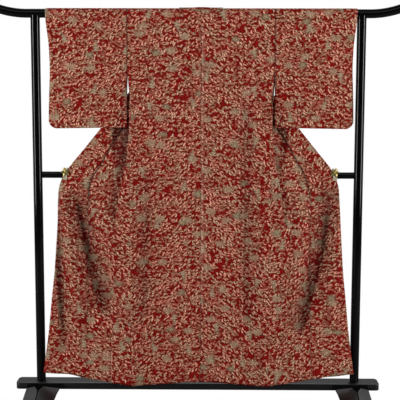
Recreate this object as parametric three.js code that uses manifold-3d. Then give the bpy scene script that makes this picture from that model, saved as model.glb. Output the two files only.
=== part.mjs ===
// A komon kimono hung by its sleeves on a lacquered wooden stand, seen as it is displayed: the back
// hangs flat, and both fronts are folded out behind it to the sides and clipped to the stand's rail.
//
// Units are millimetres. +Z is up, and the origin is on the floor under the middle of the stand.
// The kimono's back faces -Y, so +X is the wearer's right. "Drop" is a depth below the cloth's top.
// Each half is described once, for the right side, and the left one is its mirror image with
// its own row of soft folds.

import * as THREE from "three";
import { mergeVertices } from "three/addons/utils/BufferGeometryUtils.js";
import Module from "manifold-3d";

const wasm = await Module();
wasm.setup();

// A table, given as the names of its columns and its rows.
const table = (names, rows) => rows.map((row) => Object.fromEntries(names.map((name, k) => [name, row[k]])));

// ---- Stand -------------------------------------------------------------------------------------

const BAR_RADIUS = 19;
const BAR_HEIGHT = 1680; // the top bar's axis above the floor
const BAR_HALF_LENGTH = 880;
const BAR_STRAIGHT_TO = 720; // beyond this the ends sweep up
const BAR_END_RISE = 34;
const POST_RADIUS = 19.5;
const POST_X = 685;
const POST_COPE = 8; // how far below the bar's axis the coped top of a post ends
const RAIL_RADIUS = 14;
const RAIL_HEIGHT = 1000;
const BEAM = { length: 1578, depth: 84, thick: 29, top: 96, corner: 16, bevel: 2 };
const FIT = 0.4; // between pieces that touch

// ---- Kimono ------------------------------------------------------------------------------------

const CLOTH = 2; // crepe and its turnings
const COLLAR_CLOTH = 3; // the collar is folded in four
const PRESSED = 0.6; // a piece's edges are pressed to this share of its thickness
const SEAM = 1.1; // between pieces at a seam
const KIMONO_X = 12; // the kimono hangs a little off the stand's middle
const SHOULDER = 310; // middle seam to sleeve seam
const NECK_HALF = 95; // half the neck opening
const NECK_BACK_ANGLE = 36; // where the back neckline lies on the bar, in degrees from its crest
const COLLAR_HUMP = 4; // the folded collar stands up over the bar at the nape
const SLEEVE_DROP = 499; // at the body, and SLEEVE_SAG lower at the wrist
const SLEEVE_SAG = 5;
const SLEEVE_JOIN_DROP = 230; // sewn to the body down to here
const SLEEVE_LEAN = 3; // below that, its inner edge stands off the body by this much
const WRIST_OPEN_DROP = 225;
const SLEEVE_CORNER = 36;
const BAR_GAP = 0.8; // between the bar and the cloth on it

const CLOTH_TOP = BAR_HEIGHT + BAR_RADIUS + BAR_GAP + CLOTH;
const BAR_DROP = CLOTH_TOP - BAR_HEIGHT;
const WRAP = BAR_RADIUS + BAR_GAP + CLOTH / 2; // radius of the cloth's middle over the bar

// The back panel: its half width, and how far its middle and its side hang from the bar's plane.
const BACK = table(
  ["drop", "x", "middle", "side"],
  [
    [BAR_DROP, 310, -WRAP, -WRAP],
    [230, 309.5, -22, -22.5],
    [285, 307.5, -22.5, -23.5],
    [320, 305, -22.5, -24.5],
    [350, 301.5, -23, -25],
    [380, 297.5, -23, -26],
    [470, 292, -23.5, -28],
    [560, 294, -24, -31],
    [640, 298, -24.5, -32.5],
    [703, 300, -25, -33.5],
    [820, 300, -25, -37],
    [1000, 300, -26, -43],
    [1250, 298, -31, -51],
    [1610, 292, -42, -64],
  ],
);
const HEM_DROP = 1610;
const HEM_RISE_MIDDLE = 10; // the hem is this much higher at the middle seam
const HEM_RISE_TO = 0.85; // and that rise runs out at this share of the panel's width

// The front panel, from the shoulder to the hem. It leaves the side seam, turns back at `turn`,
// runs inward behind the back panel to `fold`, and comes out again to its front seam. `lap` and
// `roll` are the thicknesses of the two turns.
const FRONT = table(
  ["drop", "x", "y", "turn", "lap", "fold", "foldY", "roll", "seamX", "seamY", "seamDrop"],
  [
    [BAR_DROP, 310, WRAP, 310, 0, 97, WRAP, 0, 95, WRAP, BAR_DROP],
    [80, 310, 21.2, 310, 0, 99.5, 23, 0, 99, 23.2, 78],
    [140, 310, 21.5, 310, 0, 105, 26, 0, 105, 27.5, 136],
    [215, 309.5, 21.5, 309.5, 0, 108, 24, 6, 124, 34, 208],
    [270, 308, 14, 308, 0, 112, 21, 9, 156, 36, 262],
    [320, 304.5, -2, 304.5, 0, 127, 16, 9, 190, 34, 308],
    [375, 298, -21, 300, 1, 146, 9, 9, 226, 28, 360],
    [440, 294, -27.2, 303, 8, 171, 2, 9, 278, 19, 430],
    [500, 292, -29, 302, 8, 193, -4, 8, 327, 10, 500],
    [560, 294, -31, 306, 8, 221, -11, 8, 369, 0, 563],
    [640, 298, -32.5, 315, 8, 252, -20, 8, 413, -10, 642],
    [703, 300, -33.5, 326, 8, 280, -25.5, 8, 448, -17, 700],
    [760, 300, -35, 340, 8, 306, -27, 8, 468, -19, 758],
    [820, 300, -37, 350, 7, 328, -29, 7, 474, -22, 816],
    [880, 300, -39, 358, 4, 350, -32, 4, 476, -26, 873],
    [950, 300, -41.3, 366, 0, 366, -38, 0, 475, -29, 940],
    [1250, 298, -51, 372, 0, 372, -45, 0, 479, -38, 1233],
    [1610, 292, -64, 378, 0, 378, -60, 0, 488, -50, 1584],
  ],
);

// The collar's outer edge, and below the collar's end the overlap's front edge.
const EDGE = table(
  ["drop", "x", "y"],
  [
    [192, 172, 50],
    [230, 203, 38],
    [280, 244, 36],
    [345, 300, 28],
    [430, 366, 18],
    [504, 423, 9],
    [600, 500, -6],
    [672, 558, -17],
    [715, 584, -17],
    [765, 598, -18],
    [800, 601, -20],
    [908, 607, -23],
    [1112, 620, -27],
    [1243, 634, -29],
    [1376, 648, -30],
    [1563, 673, -34],
  ],
);
const EDGE_END = EDGE[EDGE.length - 1];

// The fronts hang a little towards the wearer's left: how far, by the drop.
const SWAY = table(
  ["drop", "x"],
  [
    [250, 0],
    [480, -4.5],
    [640, -4.5],
    [740, -8],
    [1610, -8],
  ],
);
const COLLAR_END_DROP = 790;
const COLLAR_SLANT = { x: 42.6, drop: 34.8 }; // from the outer edge square across to the seam
const COLLAR_STRAIGHTENS = 715; // from here its end turns square to the overlap's edge

// The collar round the neck, to where it lies along the overlap: its seam, then its outer edge,
// as angles from the bar's crest towards the front and distances from the bar's axis.
const NAPE = table(
  ["x", "angle", "radius", "edgeX", "edgeAngle", "edgeRadius"],
  [
    [0, -33, 21.4, 0, 111, 25],
    [45, -33, 21.4, 32, 113, 26.5],
    [80, -32, 21.4, 54, 115, 29],
    [91, -27, 21.4, 63, 117, 31],
    [93, -10, 21.4, 68, 118, 36],
    [93, 25, 21.4, 75, 124, 46],
    [93, 65, 21.4, 82, 130, 60],
    [93, 95, 21.6, 88, 132, 70],
    [94.5, 149, 45, 97, 143, 101],
    [97.5, 162.5, 87, 118, 145.5, 127],
    [103.5, 165.2, 132, 147, 153.8, 145],
    [122, 168.6, 183, 172, 163.6, 177.4],
  ],
);
const COLLAR_STATIONS = [230, 280, 345, 430, 504, 560, 610, 645, 672, 700, 725, 750, COLLAR_END_DROP];

// Half the width of the sleeves, from the kimono's middle to the wrist's edge.
const WRIST = table(
  ["drop", "x"],
  [
    [BAR_DROP, 652],
    [64, 649.5],
    [115, 643.5],
    [165, 639],
    [215, 638],
    [266, 639],
    [341, 642.5],
    [417, 645.5],
    [SLEEVE_DROP + SLEEVE_SAG, 647.5],
  ],
);

// Soft folds: each runs down through three places. A positive depth is a trough and a negative one
// a ridge, and `width` is half its breadth. They begin below the rail.
const FOLDS_BOTH = [
  { name: "side trough", x: [258, 262, 266], drop: [860, 1130, 1420], width: 24, depth: 13 },
  { name: "side ridge", x: [318, 322, 318], drop: [900, 1200, 1600], width: 34, depth: -8 },
  { name: "middle ease", x: [110, 128, 140], drop: [600, 1050, 1480], width: 60, depth: 5 },
];
const FOLDS = {
  left: [
    { name: "clip trough", x: [520, 452, 400], drop: [850, 1035, 1290], width: 27, depth: 24 },
    { name: "clip ridge", x: [566, 538, 494], drop: [790, 1030, 1290], width: 20, depth: -13 },
    { name: "edge trough", x: [592, 572, 556], drop: [900, 1090, 1330], width: 17, depth: 10 },
    { name: "seam ridge", x: [452, 410, 350], drop: [850, 1010, 1260], width: 24, depth: -11 },
  ],
  right: [
    { name: "clip trough", x: [546, 512, 424], drop: [760, 1010, 1410], width: 22, depth: 24 },
    { name: "clip ridge", x: [578, 566, 560], drop: [790, 960, 1300], width: 18, depth: -10 },
    { name: "seam ridge", x: [440, 420, 372], drop: [840, 1030, 1330], width: 32, depth: -14 },
    { name: "low trough", x: [520, 540, 556], drop: [1200, 1400, 1600], width: 30, depth: 8 },
  ],
};
const FOLD_FADE = 110; // a fold grows and dies over this much length

// ---- Small mathematics -------------------------------------------------------------------------

const mix = (a, b, t) => a + (b - a) * t;
const clamp = (v, low, high) => Math.min(high, Math.max(low, v));
const ease = (t) => {
  const s = clamp(t, 0, 1);
  return s * s * (3 - 2 * s);
};
const radians = THREE.MathUtils.degToRad;

// A column of a table at any drop, on a smooth curve through its rows that never overshoots them.
function lookup(table, column, drop) {
  const last = table.length - 1;
  const d = clamp(drop, table[0].drop, table[last].drop);
  let i = 0;
  while (i < last - 1 && table[i + 1].drop < d) i++;
  const chord = (k) => (table[k + 1][column] - table[k][column]) / (table[k + 1].drop - table[k].drop);
  const slope = (k) => {
    if (k === 0 || k === last) return chord(Math.min(k, last - 1));
    const [before, after] = [chord(k - 1), chord(k)];
    return before * after <= 0 ? 0 : (2 * before * after) / (before + after);
  };
  const span = table[i + 1].drop - table[i].drop;
  const t = (d - table[i].drop) / span;
  const rise = table[i + 1][column] - table[i][column];
  const [m0, m1] = [slope(i) * span, slope(i + 1) * span];
  return table[i][column] + m0 * t + (3 * rise - 2 * m0 - m1) * t * t + (m0 + m1 - 2 * rise) * t * t * t;
}

// How far the soft folds move the cloth at a place, away from the viewer of the back.
function foldDepth(side, x, drop) {
  let depth = 0;
  for (const fold of [...FOLDS_BOTH, ...FOLDS[side]]) {
    const [top, mid, low] = fold.drop;
    const grow = ease((drop - top) / FOLD_FADE) * (1 - ease((drop - low) / FOLD_FADE));
    if (grow === 0) continue;
    const t = clamp((drop - top) / (low - top), 0, 1);
    const share = (mid - top) / (low - top);
    const line =
      t < share
        ? mix(fold.x[0], fold.x[1], t / share)
        : mix(fold.x[1], fold.x[2], (t - share) / (1 - share));
    depth += fold.depth * grow * Math.exp(-(((x - line) / fold.width) ** 2));
  }
  return depth;
}

// ---- Walls of cloth ----------------------------------------------------------------------------

// A closed wall on a grid of points. `keep(r, c)` leaves cells out, and `loop` joins the last
// column to the first. Each point is moved half the thickness both ways along its normal, and
// less on the wall's own edges, which are pressed thin.
function wall(grid, thick, { keep = () => true, loop = false } = {}) {
  const rows = grid.length;
  const columns = grid[0].length;
  const cellColumns = loop ? columns : columns - 1;
  const next = (c) => (c + 1) % columns;
  const inGrid = (r, c) => r >= 0 && r < rows - 1 && (loop || (c >= 0 && c < cellColumns));
  const cell = (r, c) => inGrid(r, c) && keep(r, (c + columns) % columns);
  const around = (r, c) => [cell(r, c), cell(r - 1, c), cell(r, c - 1), cell(r - 1, c - 1)];
  const used = (r, c) => around(r, c).some(Boolean);
  const inside = (r, c) => around(r, c).every(Boolean);

  const normalAt = (r, c) => {
    const near = (row, column) => {
      const wrapped = loop ? (column + columns) % columns : column;
      const there = row >= 0 && row < rows && wrapped >= 0 && wrapped < columns && used(row, wrapped);
      return there ? grid[row][wrapped] : grid[r][c];
    };
    const down = near(r + 1, c).clone().sub(near(r - 1, c));
    const across = near(r, c + 1).clone().sub(near(r, c - 1));
    return across.cross(down).normalize();
  };

  const positions = [];
  const index = grid.map((row, r) =>
    row.map((point, c) => {
      if (!used(r, c)) return null;
      const normal = normalAt(r, c).multiplyScalar((inside(r, c) ? thick : thick * PRESSED) / 2);
      const outer = point.clone().add(normal);
      const inner = point.clone().sub(normal);
      positions.push(outer.x, outer.y, outer.z, inner.x, inner.y, inner.z);
      return positions.length / 3 - 2;
    }),
  );

  const triangles = [];
  const quad = (a, b, c, d) => triangles.push(a, b, c, a, c, d);
  const rim = (a, b) => quad(a, b, b + 1, a + 1);
  for (let r = 0; r < rows - 1; r++)
    for (let c = 0; c < cellColumns; c++) {
      if (!cell(r, c)) continue;
      const [p, q, s, t] = [index[r][c], index[r][next(c)], index[r + 1][next(c)], index[r + 1][c]];
      quad(p, t, s, q);
      quad(p + 1, q + 1, s + 1, t + 1);
      if (!cell(r - 1, c)) rim(p, q);
      if (!cell(r + 1, c)) rim(s, t);
      if (!cell(r, c - 1)) rim(t, p);
      if (!cell(r, c + 1)) rim(q, s);
    }

  const geometry = new THREE.BufferGeometry();
  geometry.setAttribute("position", new THREE.Float32BufferAttribute(positions, 3));
  geometry.setIndex(triangles);
  return geometry;
}

// The same geometry with its faces turned to the outside, whichever way its grid ran.
function facingOut(geometry) {
  const p = geometry.getAttribute("position");
  const i = geometry.getIndex().array;
  const [a, b, c] = [new THREE.Vector3(), new THREE.Vector3(), new THREE.Vector3()];
  let volume = 0;
  for (let k = 0; k < i.length; k += 3) {
    a.fromBufferAttribute(p, i[k]);
    b.fromBufferAttribute(p, i[k + 1]);
    c.fromBufferAttribute(p, i[k + 2]);
    volume += a.dot(b.cross(c));
  }
  if (volume < 0) for (let k = 0; k < i.length; k += 3) [i[k], i[k + 1]] = [i[k + 1], i[k]];
  geometry.computeVertexNormals();
  return geometry;
}

// A point of the right half, carried to its own side and to where the kimono hangs. `swing` is its
// share of the fronts' sway.
function place(side, x, y, drop, swing = 0) {
  const sign = side === "right" ? 1 : -1;
  return new THREE.Vector3(KIMONO_X + sign * x + swing * lookup(SWAY, "x", drop), y, CLOTH_TOP - drop);
}

// A point on the bar's round top, `degrees` from its crest towards the front (+Y).
function overBar(side, x, degrees, radius = WRAP) {
  const a = radians(degrees);
  return place(side, x, radius * Math.sin(a), BAR_DROP - radius * Math.cos(a));
}

// ---- Back panels -------------------------------------------------------------------------------

// Rows below the side seam's top, shared by the back, the front and the overlap.
const SEWN_DROPS = [
  405, 440, 480, 520, 560, 600, 640, 675, 703, 735, 765, COLLAR_END_DROP + 2, 830, 870, 920, 980,
  1040, 1110, 1180, 1260, 1350, 1450, 1540, HEM_DROP,
];
const BACK_DROPS = [...[...SEWN_DROPS].reverse(), 370, 300, 225, 120, BAR_DROP];
const BACK_ANGLES = [-73, -54, -NECK_BACK_ANGLE - 1, -18, -0.8];
const NECK_COLUMNS = 3;
const BODY_COLUMNS = 7;

function backPanel(side) {
  const shares = [];
  for (let c = 0; c <= NECK_COLUMNS; c++) shares.push((c / NECK_COLUMNS) * (NECK_HALF / SHOULDER));
  for (let c = 1; c <= BODY_COLUMNS; c++) shares.push(mix(NECK_HALF / SHOULDER, 1, c / BODY_COLUMNS));

  const hanging = BACK_DROPS.map((drop) =>
    shares.map((share) => {
      const x = mix(SEAM / 2, lookup(BACK, "x", drop) - SEAM / 2, share);
      const y = mix(lookup(BACK, "middle", drop), lookup(BACK, "side", drop), share ** 2);
      const down = ease((drop - BAR_DROP) / (HEM_DROP - BAR_DROP));
      const rise = HEM_RISE_MIDDLE * ease(1 - share / HEM_RISE_TO) * down;
      return place(side, x, y + foldDepth(side, x, drop), drop - rise);
    }),
  );
  const wrapped = BACK_ANGLES.map((degrees) =>
    shares.map((share) => overBar(side, mix(SEAM / 2, SHOULDER - SEAM / 2, share), degrees)),
  );
  const neckRow = BACK_DROPS.length + BACK_ANGLES.indexOf(-NECK_BACK_ANGLE - 1);
  const keep = (r, c) => c >= NECK_COLUMNS || r < neckRow;
  return facingOut(wall([...hanging, ...wrapped], CLOTH, { keep }));
}

// ---- Front panels ------------------------------------------------------------------------------

const SIDE_SEAM_DROP = 390; // below here the side seam joins the front to the back
const FRONT_ANGLES = [0.8, 19, 38, 57, 75];
const FRONT_DROPS = [BAR_DROP, 70, 130, 185, 230, 270, 310, 345, 378, ...SEWN_DROPS];
const TURN_HALF = 5; // the columns on both sides of a turn are this far from it
const SOFTEN = 4; // half the length over which a section's corners are rounded

// The front's section at a drop: a path from the side seam to the front seam, its corners rounded.
// Returns the places of its two turns along it, its length, and the point at any length.
function frontSection(drop) {
  const row = (column) => lookup(FRONT, column, drop);
  const corners = [
    [row("x"), row("y")],
    [row("turn"), row("y")],
    [row("turn"), row("y") + row("lap")],
    [row("fold"), row("foldY")],
    [row("fold"), row("foldY") + row("roll")],
    [row("seamX"), row("seamY")],
  ];
  const lengths = [0];
  for (let k = 1; k < corners.length; k++) {
    const [[x, y], [lastX, lastY]] = [corners[k], corners[k - 1]];
    lengths.push(lengths[k - 1] + Math.hypot(x - lastX, y - lastY));
  }
  const total = lengths[lengths.length - 1];
  const sharp = (length) => {
    let k = 0;
    while (k < corners.length - 2 && lengths[k + 1] < length) k++;
    const span = lengths[k + 1] - lengths[k];
    const t = span > 0 ? (length - lengths[k]) / span : 0;
    return [0, 1].map((axis) => mix(corners[k][axis], corners[k + 1][axis], t));
  };
  const at = (length) => {
    const reach = Math.min(SOFTEN, length, total - length);
    const samples = 9;
    const sum = [0, 0];
    for (let s = 0; s < samples; s++) {
      const [x, y] = sharp(length + reach * ((2 * s) / (samples - 1) - 1));
      sum[0] += x / samples;
      sum[1] += y / samples;
    }
    return sum;
  };
  const middle = (k) => (lengths[k] + lengths[k + 1]) / 2;
  return { at, total, outerTurn: middle(1), innerTurn: middle(3) };
}

// Where the columns lie along a section: close together at the turns while it is folded, and
// evenly spread where it hangs open.
function frontColumns(section, drop) {
  const { total, outerTurn, innerTurn } = section;
  const outer = Math.max(outerTurn, 9);
  const inner = clamp(innerTurn, outer + 20, total - 12);
  const near = [outer - TURN_HALF, outer, outer + TURN_HALF];
  const deep = [inner - TURN_HALF, inner, inner + TURN_HALF];
  const folded = [0, ...near];
  for (let k = 1; k <= 2; k++) folded.push(mix(near[2], deep[0], k / 3));
  folded.push(...deep);
  for (let k = 1; k <= 4; k++) folded.push(mix(deep[2], total, k / 4));
  const amount = ease((drop - 150) / 80) * (1 - ease((drop - 850) / 110));
  return folded.map((length, k) => mix((k / (folded.length - 1)) * total, length, amount));
}

function frontPanel(side) {
  const shoulder = frontSection(BAR_DROP);
  const shares = frontColumns(shoulder, BAR_DROP).map((length) => length / shoulder.total);
  const overShoulder = FRONT_ANGLES.map((degrees) =>
    shares.map((share) => overBar(side, mix(SHOULDER - SEAM / 2, NECK_HALF + SEAM, share), degrees)),
  );
  const hanging = FRONT_DROPS.map((drop) => {
    const section = frontSection(drop);
    const seamDrop = lookup(FRONT, "seamDrop", drop);
    const sewn = drop > SIDE_SEAM_DROP;
    return frontColumns(section, drop).map((length) => {
      const [x, y] = section.at(length);
      const share = length / section.total;
      const inset = sewn ? mix(SEAM / 2, -SEAM / 2, share) : -SEAM / 2;
      const low = mix(drop, seamDrop, share);
      return place(side, x + inset, y + foldDepth(side, x, low), low, share);
    });
  });
  return facingOut(wall([...overShoulder, ...hanging], CLOTH));
}

// ---- Overlaps (okumi) --------------------------------------------------------------------------

const OVERLAP_DROPS = FRONT_DROPS.filter((drop) => drop >= 270);
const OVERLAP_COLUMNS = 4; // between its two seams
const LAPEL_COLUMNS = 3; // under the collar's end

// The collar's seam at a drop of its own, between the neck and the collar's end.
const collarSeamX = (drop) => lookup(EDGE, "x", drop - COLLAR_SLANT.drop) - COLLAR_SLANT.x;

function overlap(side) {
  const freeTop = COLLAR_END_DROP + 2;
  const endX = collarSeamX(COLLAR_END_DROP);
  const hemX = mix(lookup(FRONT, "seamX", HEM_DROP), EDGE_END.x, 0.6);
  const grid = OVERLAP_DROPS.map((drop) => {
    const own = lookup(FRONT, "seamDrop", drop);
    const innerX = lookup(FRONT, "seamX", drop) + SEAM / 2;
    const innerY = lookup(FRONT, "seamY", drop);
    const free = drop >= freeTop;
    const below = ease((drop - COLLAR_END_DROP) / (HEM_DROP - COLLAR_END_DROP));
    const edgeDrop = free ? mix(freeTop, EDGE_END.drop, (drop - freeTop) / (HEM_DROP - freeTop)) : own;
    const edgeX = lookup(EDGE, "x", edgeDrop);
    const edgeY = lookup(EDGE, "y", edgeDrop);
    const middleX = free ? mix(endX, hemX, below) : collarSeamX(own) - SEAM / 2;
    const middleShare = (middleX - innerX) / (edgeX - innerX);

    const point = (share) => {
      const x = mix(innerX, edgeX, share);
      const d = mix(own, edgeDrop, share);
      const y = mix(innerY, edgeY, free ? share : Math.min(1, share / middleShare));
      return place(side, x, y + foldDepth(side, x, d), d, 1);
    };
    const row = [];
    for (let c = 0; c <= OVERLAP_COLUMNS; c++) row.push(point((middleShare * c) / OVERLAP_COLUMNS));
    for (let c = 1; c <= LAPEL_COLUMNS; c++) row.push(point(mix(middleShare, 1, c / LAPEL_COLUMNS)));
    return row;
  });
  const firstFree = OVERLAP_DROPS.indexOf(freeTop);
  const keep = (r, c) => c < OVERLAP_COLUMNS || r >= firstFree;
  return facingOut(wall(grid, CLOTH, { keep }));
}

// ---- Collar ------------------------------------------------------------------------------------

const COLLAR_COLUMNS = 6;

function collarHalf(side) {
  const neck = NAPE.map((row) => {
    const hump = COLLAR_HUMP * Math.exp(-((row.x / 42) ** 2));
    return Array.from({ length: COLLAR_COLUMNS + 1 }, (_, c) => {
      const t = c / COLLAR_COLUMNS;
      const radius = mix(row.radius, row.edgeRadius, t) + hump * Math.sin(Math.PI * t);
      return overBar(side, mix(row.x, row.edgeX, t), mix(row.angle, row.edgeAngle, t), radius);
    });
  });
  const along = COLLAR_STATIONS.map((drop) => {
    const end = (drop - COLLAR_STRAIGHTENS) / (COLLAR_END_DROP - COLLAR_STRAIGHTENS);
    const slant = COLLAR_SLANT.drop * (1 - ease(end));
    const seamX = collarSeamX(drop + slant) + SEAM / 2;
    const seamY = lookup(EDGE, "y", drop + slant);
    return Array.from({ length: COLLAR_COLUMNS + 1 }, (_, c) => {
      const t = c / COLLAR_COLUMNS;
      const x = mix(seamX, lookup(EDGE, "x", drop), t);
      const y = mix(seamY, lookup(EDGE, "y", drop), t);
      return place(side, x, y, drop + slant * (1 - t), 1);
    });
  });
  return [...neck, ...along];
}

function collar() {
  const left = collarHalf("left").reverse();
  return facingOut(wall([...left, ...collarHalf("right").slice(1)], COLLAR_CLOTH));
}

// ---- Sleeves -----------------------------------------------------------------------------------

const SLEEVE_DROPS = [BAR_DROP, 80, 140, 195, 235, 290, 350, 410, 455, 475, 488];
const SLEEVE_ANGLES = [-67.5, -45, -22.5, 0, 22.5, 45, 67.5];
const SLEEVE_SHARES = [0, 0.18, 0.36, 0.54, 0.7, 0.82, 0.9, 0.96, 1]; // of the way to the wrist
const LAYER_GAP = 1.4; // half the distance between the two layers where they are sewn together
const WRIST_PINCH = 0.2; // the share of the sleeve's width over which its wrist seam closes

// Half the distance between the sleeve's layers at a drop, at a share of the way to the wrist.
function sleeveGap(drop, share) {
  const closed = SLEEVE_DROP - 20; // the layers have met here
  const belowJoin = ease((drop - SLEEVE_JOIN_DROP) / (closed - SLEEVE_JOIN_DROP));
  const belowBar = clamp((drop - BAR_DROP) / (closed - BAR_DROP), 0, 1);
  const open = mix(mix(WRAP, LAYER_GAP, belowJoin), mix(WRAP, LAYER_GAP, belowBar), share);
  const closing = ease((share - (1 - WRIST_PINCH)) / WRIST_PINCH) * ease((drop - WRIST_OPEN_DROP + 30) / 60);
  return mix(open, LAYER_GAP, closing);
}

// The wrist's edge, down to its rounded lower corner.
function wristX(drop) {
  const below = clamp(drop - (SLEEVE_DROP - SLEEVE_CORNER), 0, SLEEVE_CORNER);
  return lookup(WRIST, "x", drop) - SLEEVE_CORNER + Math.sqrt(SLEEVE_CORNER ** 2 - below ** 2);
}

function sleeve(side) {
  const shoulderX = SHOULDER + SEAM / 2;
  const grid = SLEEVE_SHARES.map((share) => {
    const spot = (drop, y) => {
      const lean = SLEEVE_LEAN * ease((drop - SLEEVE_JOIN_DROP) / 150) * (1 - share);
      const sag = SLEEVE_SAG * share * ease((drop - BAR_DROP) / (SLEEVE_DROP - BAR_DROP));
      return place(side, mix(shoulderX, wristX(drop), share) + lean, y, drop + sag);
    };
    const layer = (sign) => SLEEVE_DROPS.map((drop) => spot(drop, sign * sleeveGap(drop, share)));
    const wristEnd = WRIST[0].x;
    const wrapped = SLEEVE_ANGLES.map((degrees) => overBar(side, mix(shoulderX, wristEnd, share), degrees));
    return [spot(SLEEVE_DROP - 1, 0), ...layer(-1).reverse(), ...wrapped, ...layer(1)];
  });
  return facingOut(wall(grid, CLOTH, { loop: true }));
}

// ---- Stand pieces ------------------------------------------------------------------------------

const toSolid = (geometry) => {
  const bare = geometry.clone();
  bare.deleteAttribute("normal");
  bare.deleteAttribute("uv");
  const merged = mergeVertices(bare, 1e-3);
  return new wasm.Manifold(
    new wasm.Mesh({
      numProp: 3,
      vertProperties: new Float32Array(merged.getAttribute("position").array),
      triVerts: new Uint32Array(merged.getIndex().array),
    }),
  );
};

function subtract(geometry, ...cutters) {
  let solid = toSolid(geometry);
  for (const cutter of cutters) solid = solid.subtract(toSolid(cutter));
  const mesh = solid.getMesh();
  const result = new THREE.BufferGeometry();
  result.setAttribute("position", new THREE.Float32BufferAttribute(mesh.vertProperties, 3));
  result.setIndex([...mesh.triVerts]);
  result.computeVertexNormals();
  return result;
}

function rod(radius, length, axis, centre, sides = 24) {
  const geometry = new THREE.CylinderGeometry(radius, radius, length, sides);
  if (axis === "x") geometry.rotateZ(Math.PI / 2);
  if (axis === "z") geometry.rotateX(Math.PI / 2);
  return geometry.translate(...centre);
}

// Rings of points joined into a closed tube, with a fan over each end.
function loft(rings) {
  const sides = rings[0].length;
  const points = rings.flat();
  const faces = [];
  for (let r = 0; r < rings.length - 1; r++)
    for (let k = 0; k < sides; k++) {
      const [a, b] = [r * sides + k, r * sides + ((k + 1) % sides)];
      faces.push(a, b, b + sides, a, b + sides, a + sides);
    }
  const last = (rings.length - 1) * sides;
  for (let k = 1; k < sides - 1; k++) {
    faces.push(0, k + 1, k);
    faces.push(last, last + k, last + k + 1);
  }
  const geometry = new THREE.BufferGeometry();
  geometry.setAttribute("position", new THREE.Float32BufferAttribute(points.flatMap((p) => [...p]), 3));
  geometry.setIndex(faces);
  return facingOut(geometry);
}

// The top bar: straight under the kimono, its ends swept up and rounded off.
function topBar() {
  const sides = 24;
  const sweepSteps = 8;
  const sweep = BAR_HALF_LENGTH - BAR_STRAIGHT_TO;
  const tip = table(
    ["beyond", "scale"],
    [
      [7, 0.92],
      [13, 0.7],
      [16, 0.35],
    ],
  );
  const stations = [];
  for (let k = 0; k <= sweepSteps; k++)
    stations.push({ x: BAR_STRAIGHT_TO + (sweep * k) / sweepSteps, scale: 1 });
  for (const { beyond, scale } of tip) stations.push({ x: BAR_HALF_LENGTH + beyond, scale });
  const ring = ({ x, scale }, sign) => {
    const along = (x - BAR_STRAIGHT_TO) / sweep;
    const rise = BAR_END_RISE * along ** 2;
    const slope = sign * Math.atan((2 * BAR_END_RISE * along) / sweep);
    return Array.from({ length: sides }, (_, k) => {
      const a = (2 * Math.PI * k) / sides;
      const [y, up] = [BAR_RADIUS * scale * Math.cos(a), BAR_RADIUS * scale * Math.sin(a)];
      return new THREE.Vector3(sign * x - up * Math.sin(slope), y, BAR_HEIGHT + rise + up * Math.cos(slope));
    });
  };
  return loft([...[...stations].reverse().map((s) => ring(s, -1)), ...stations.map((s) => ring(s, 1))]);
}

function post(sign) {
  const top = BAR_HEIGHT - POST_COPE;
  const bottom = BEAM.top + FIT;
  const shaft = rod(POST_RADIUS, top - bottom, "z", [sign * POST_X, 0, (top + bottom) / 2]);
  return subtract(shaft, rod(BAR_RADIUS + FIT, 120, "x", [sign * POST_X, 0, BAR_HEIGHT]));
}

function rail() {
  const shaft = rod(RAIL_RADIUS, 2 * POST_X, "x", [0, 0, RAIL_HEIGHT]);
  const socket = (sign) => rod(POST_RADIUS + FIT, 120, "z", [sign * POST_X, 0, RAIL_HEIGHT]);
  return subtract(shaft, socket(-1), socket(1));
}

function roundedRectangle(width, depth, corner) {
  const [x, y] = [width / 2, depth / 2];
  const shape = new THREE.Shape();
  const quarter = Math.PI / 2;
  shape.absarc(x - corner, -y + corner, corner, -quarter, 0);
  shape.absarc(x - corner, y - corner, corner, 0, quarter);
  shape.absarc(-x + corner, y - corner, corner, quarter, 2 * quarter);
  shape.absarc(-x + corner, -y + corner, corner, 2 * quarter, 3 * quarter);
  return shape;
}

function beam() {
  const { length, depth, thick, top, corner, bevel } = BEAM;
  const shape = roundedRectangle(length - 2 * bevel, depth - 2 * bevel, corner - bevel);
  const edges = { bevelThickness: bevel, bevelSize: bevel, bevelSegments: 1, curveSegments: 5 };
  const bar = new THREE.ExtrudeGeometry(shape, { depth: thick - 2 * bevel, ...edges });
  return bar.translate(0, 0, top - thick + bevel);
}

// A foot: a low arch from front to back with a ridge along it, notched for the beam. Each row is
// a section: the sides at the shoulders and at the floor, the ridge's height, the shoulders' and
// that of the arch under it.
const FOOT = table(
  ["y", "outer", "inner", "outerLow", "innerLow", "ridge", "shoulder", "under"],
  [
    [0, 737, 583, 725, 640, 92, 92, 30],
    [46, 737, 586, 725, 640, 92, 92, 28],
    [66, 739, 594, 727, 640, 88, 77, 24],
    [100, 741, 602, 733, 640, 75, 64, 12],
    [130, 742, 606, 738, 636, 63, 53, 0],
    [165, 743, 611, 741, 634, 49, 40, 0],
    [200, 743, 618, 743, 632, 34, 26, 0],
  ],
);

function foot(sign) {
  const section = (row, y) =>
    [
      [row.outerLow, row.under],
      [row.innerLow, row.under],
      [row.inner, row.shoulder],
      [POST_X, row.ridge],
      [row.outer, row.shoulder],
    ].map(([x, z]) => new THREE.Vector3(sign * x, y, z));
  const back = FOOT.slice(1).reverse().map((row) => section(row, row.y));
  const front = FOOT.map((row) => section(row, -row.y));
  const notchHeight = 100;
  const notch = new THREE.BoxGeometry(400, BEAM.depth + 2 * FIT, notchHeight);
  notch.translate(sign * POST_X, 0, BEAM.top - BEAM.thick - FIT + notchHeight / 2);
  return subtract(loft([...back, ...front]), notch);
}

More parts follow.
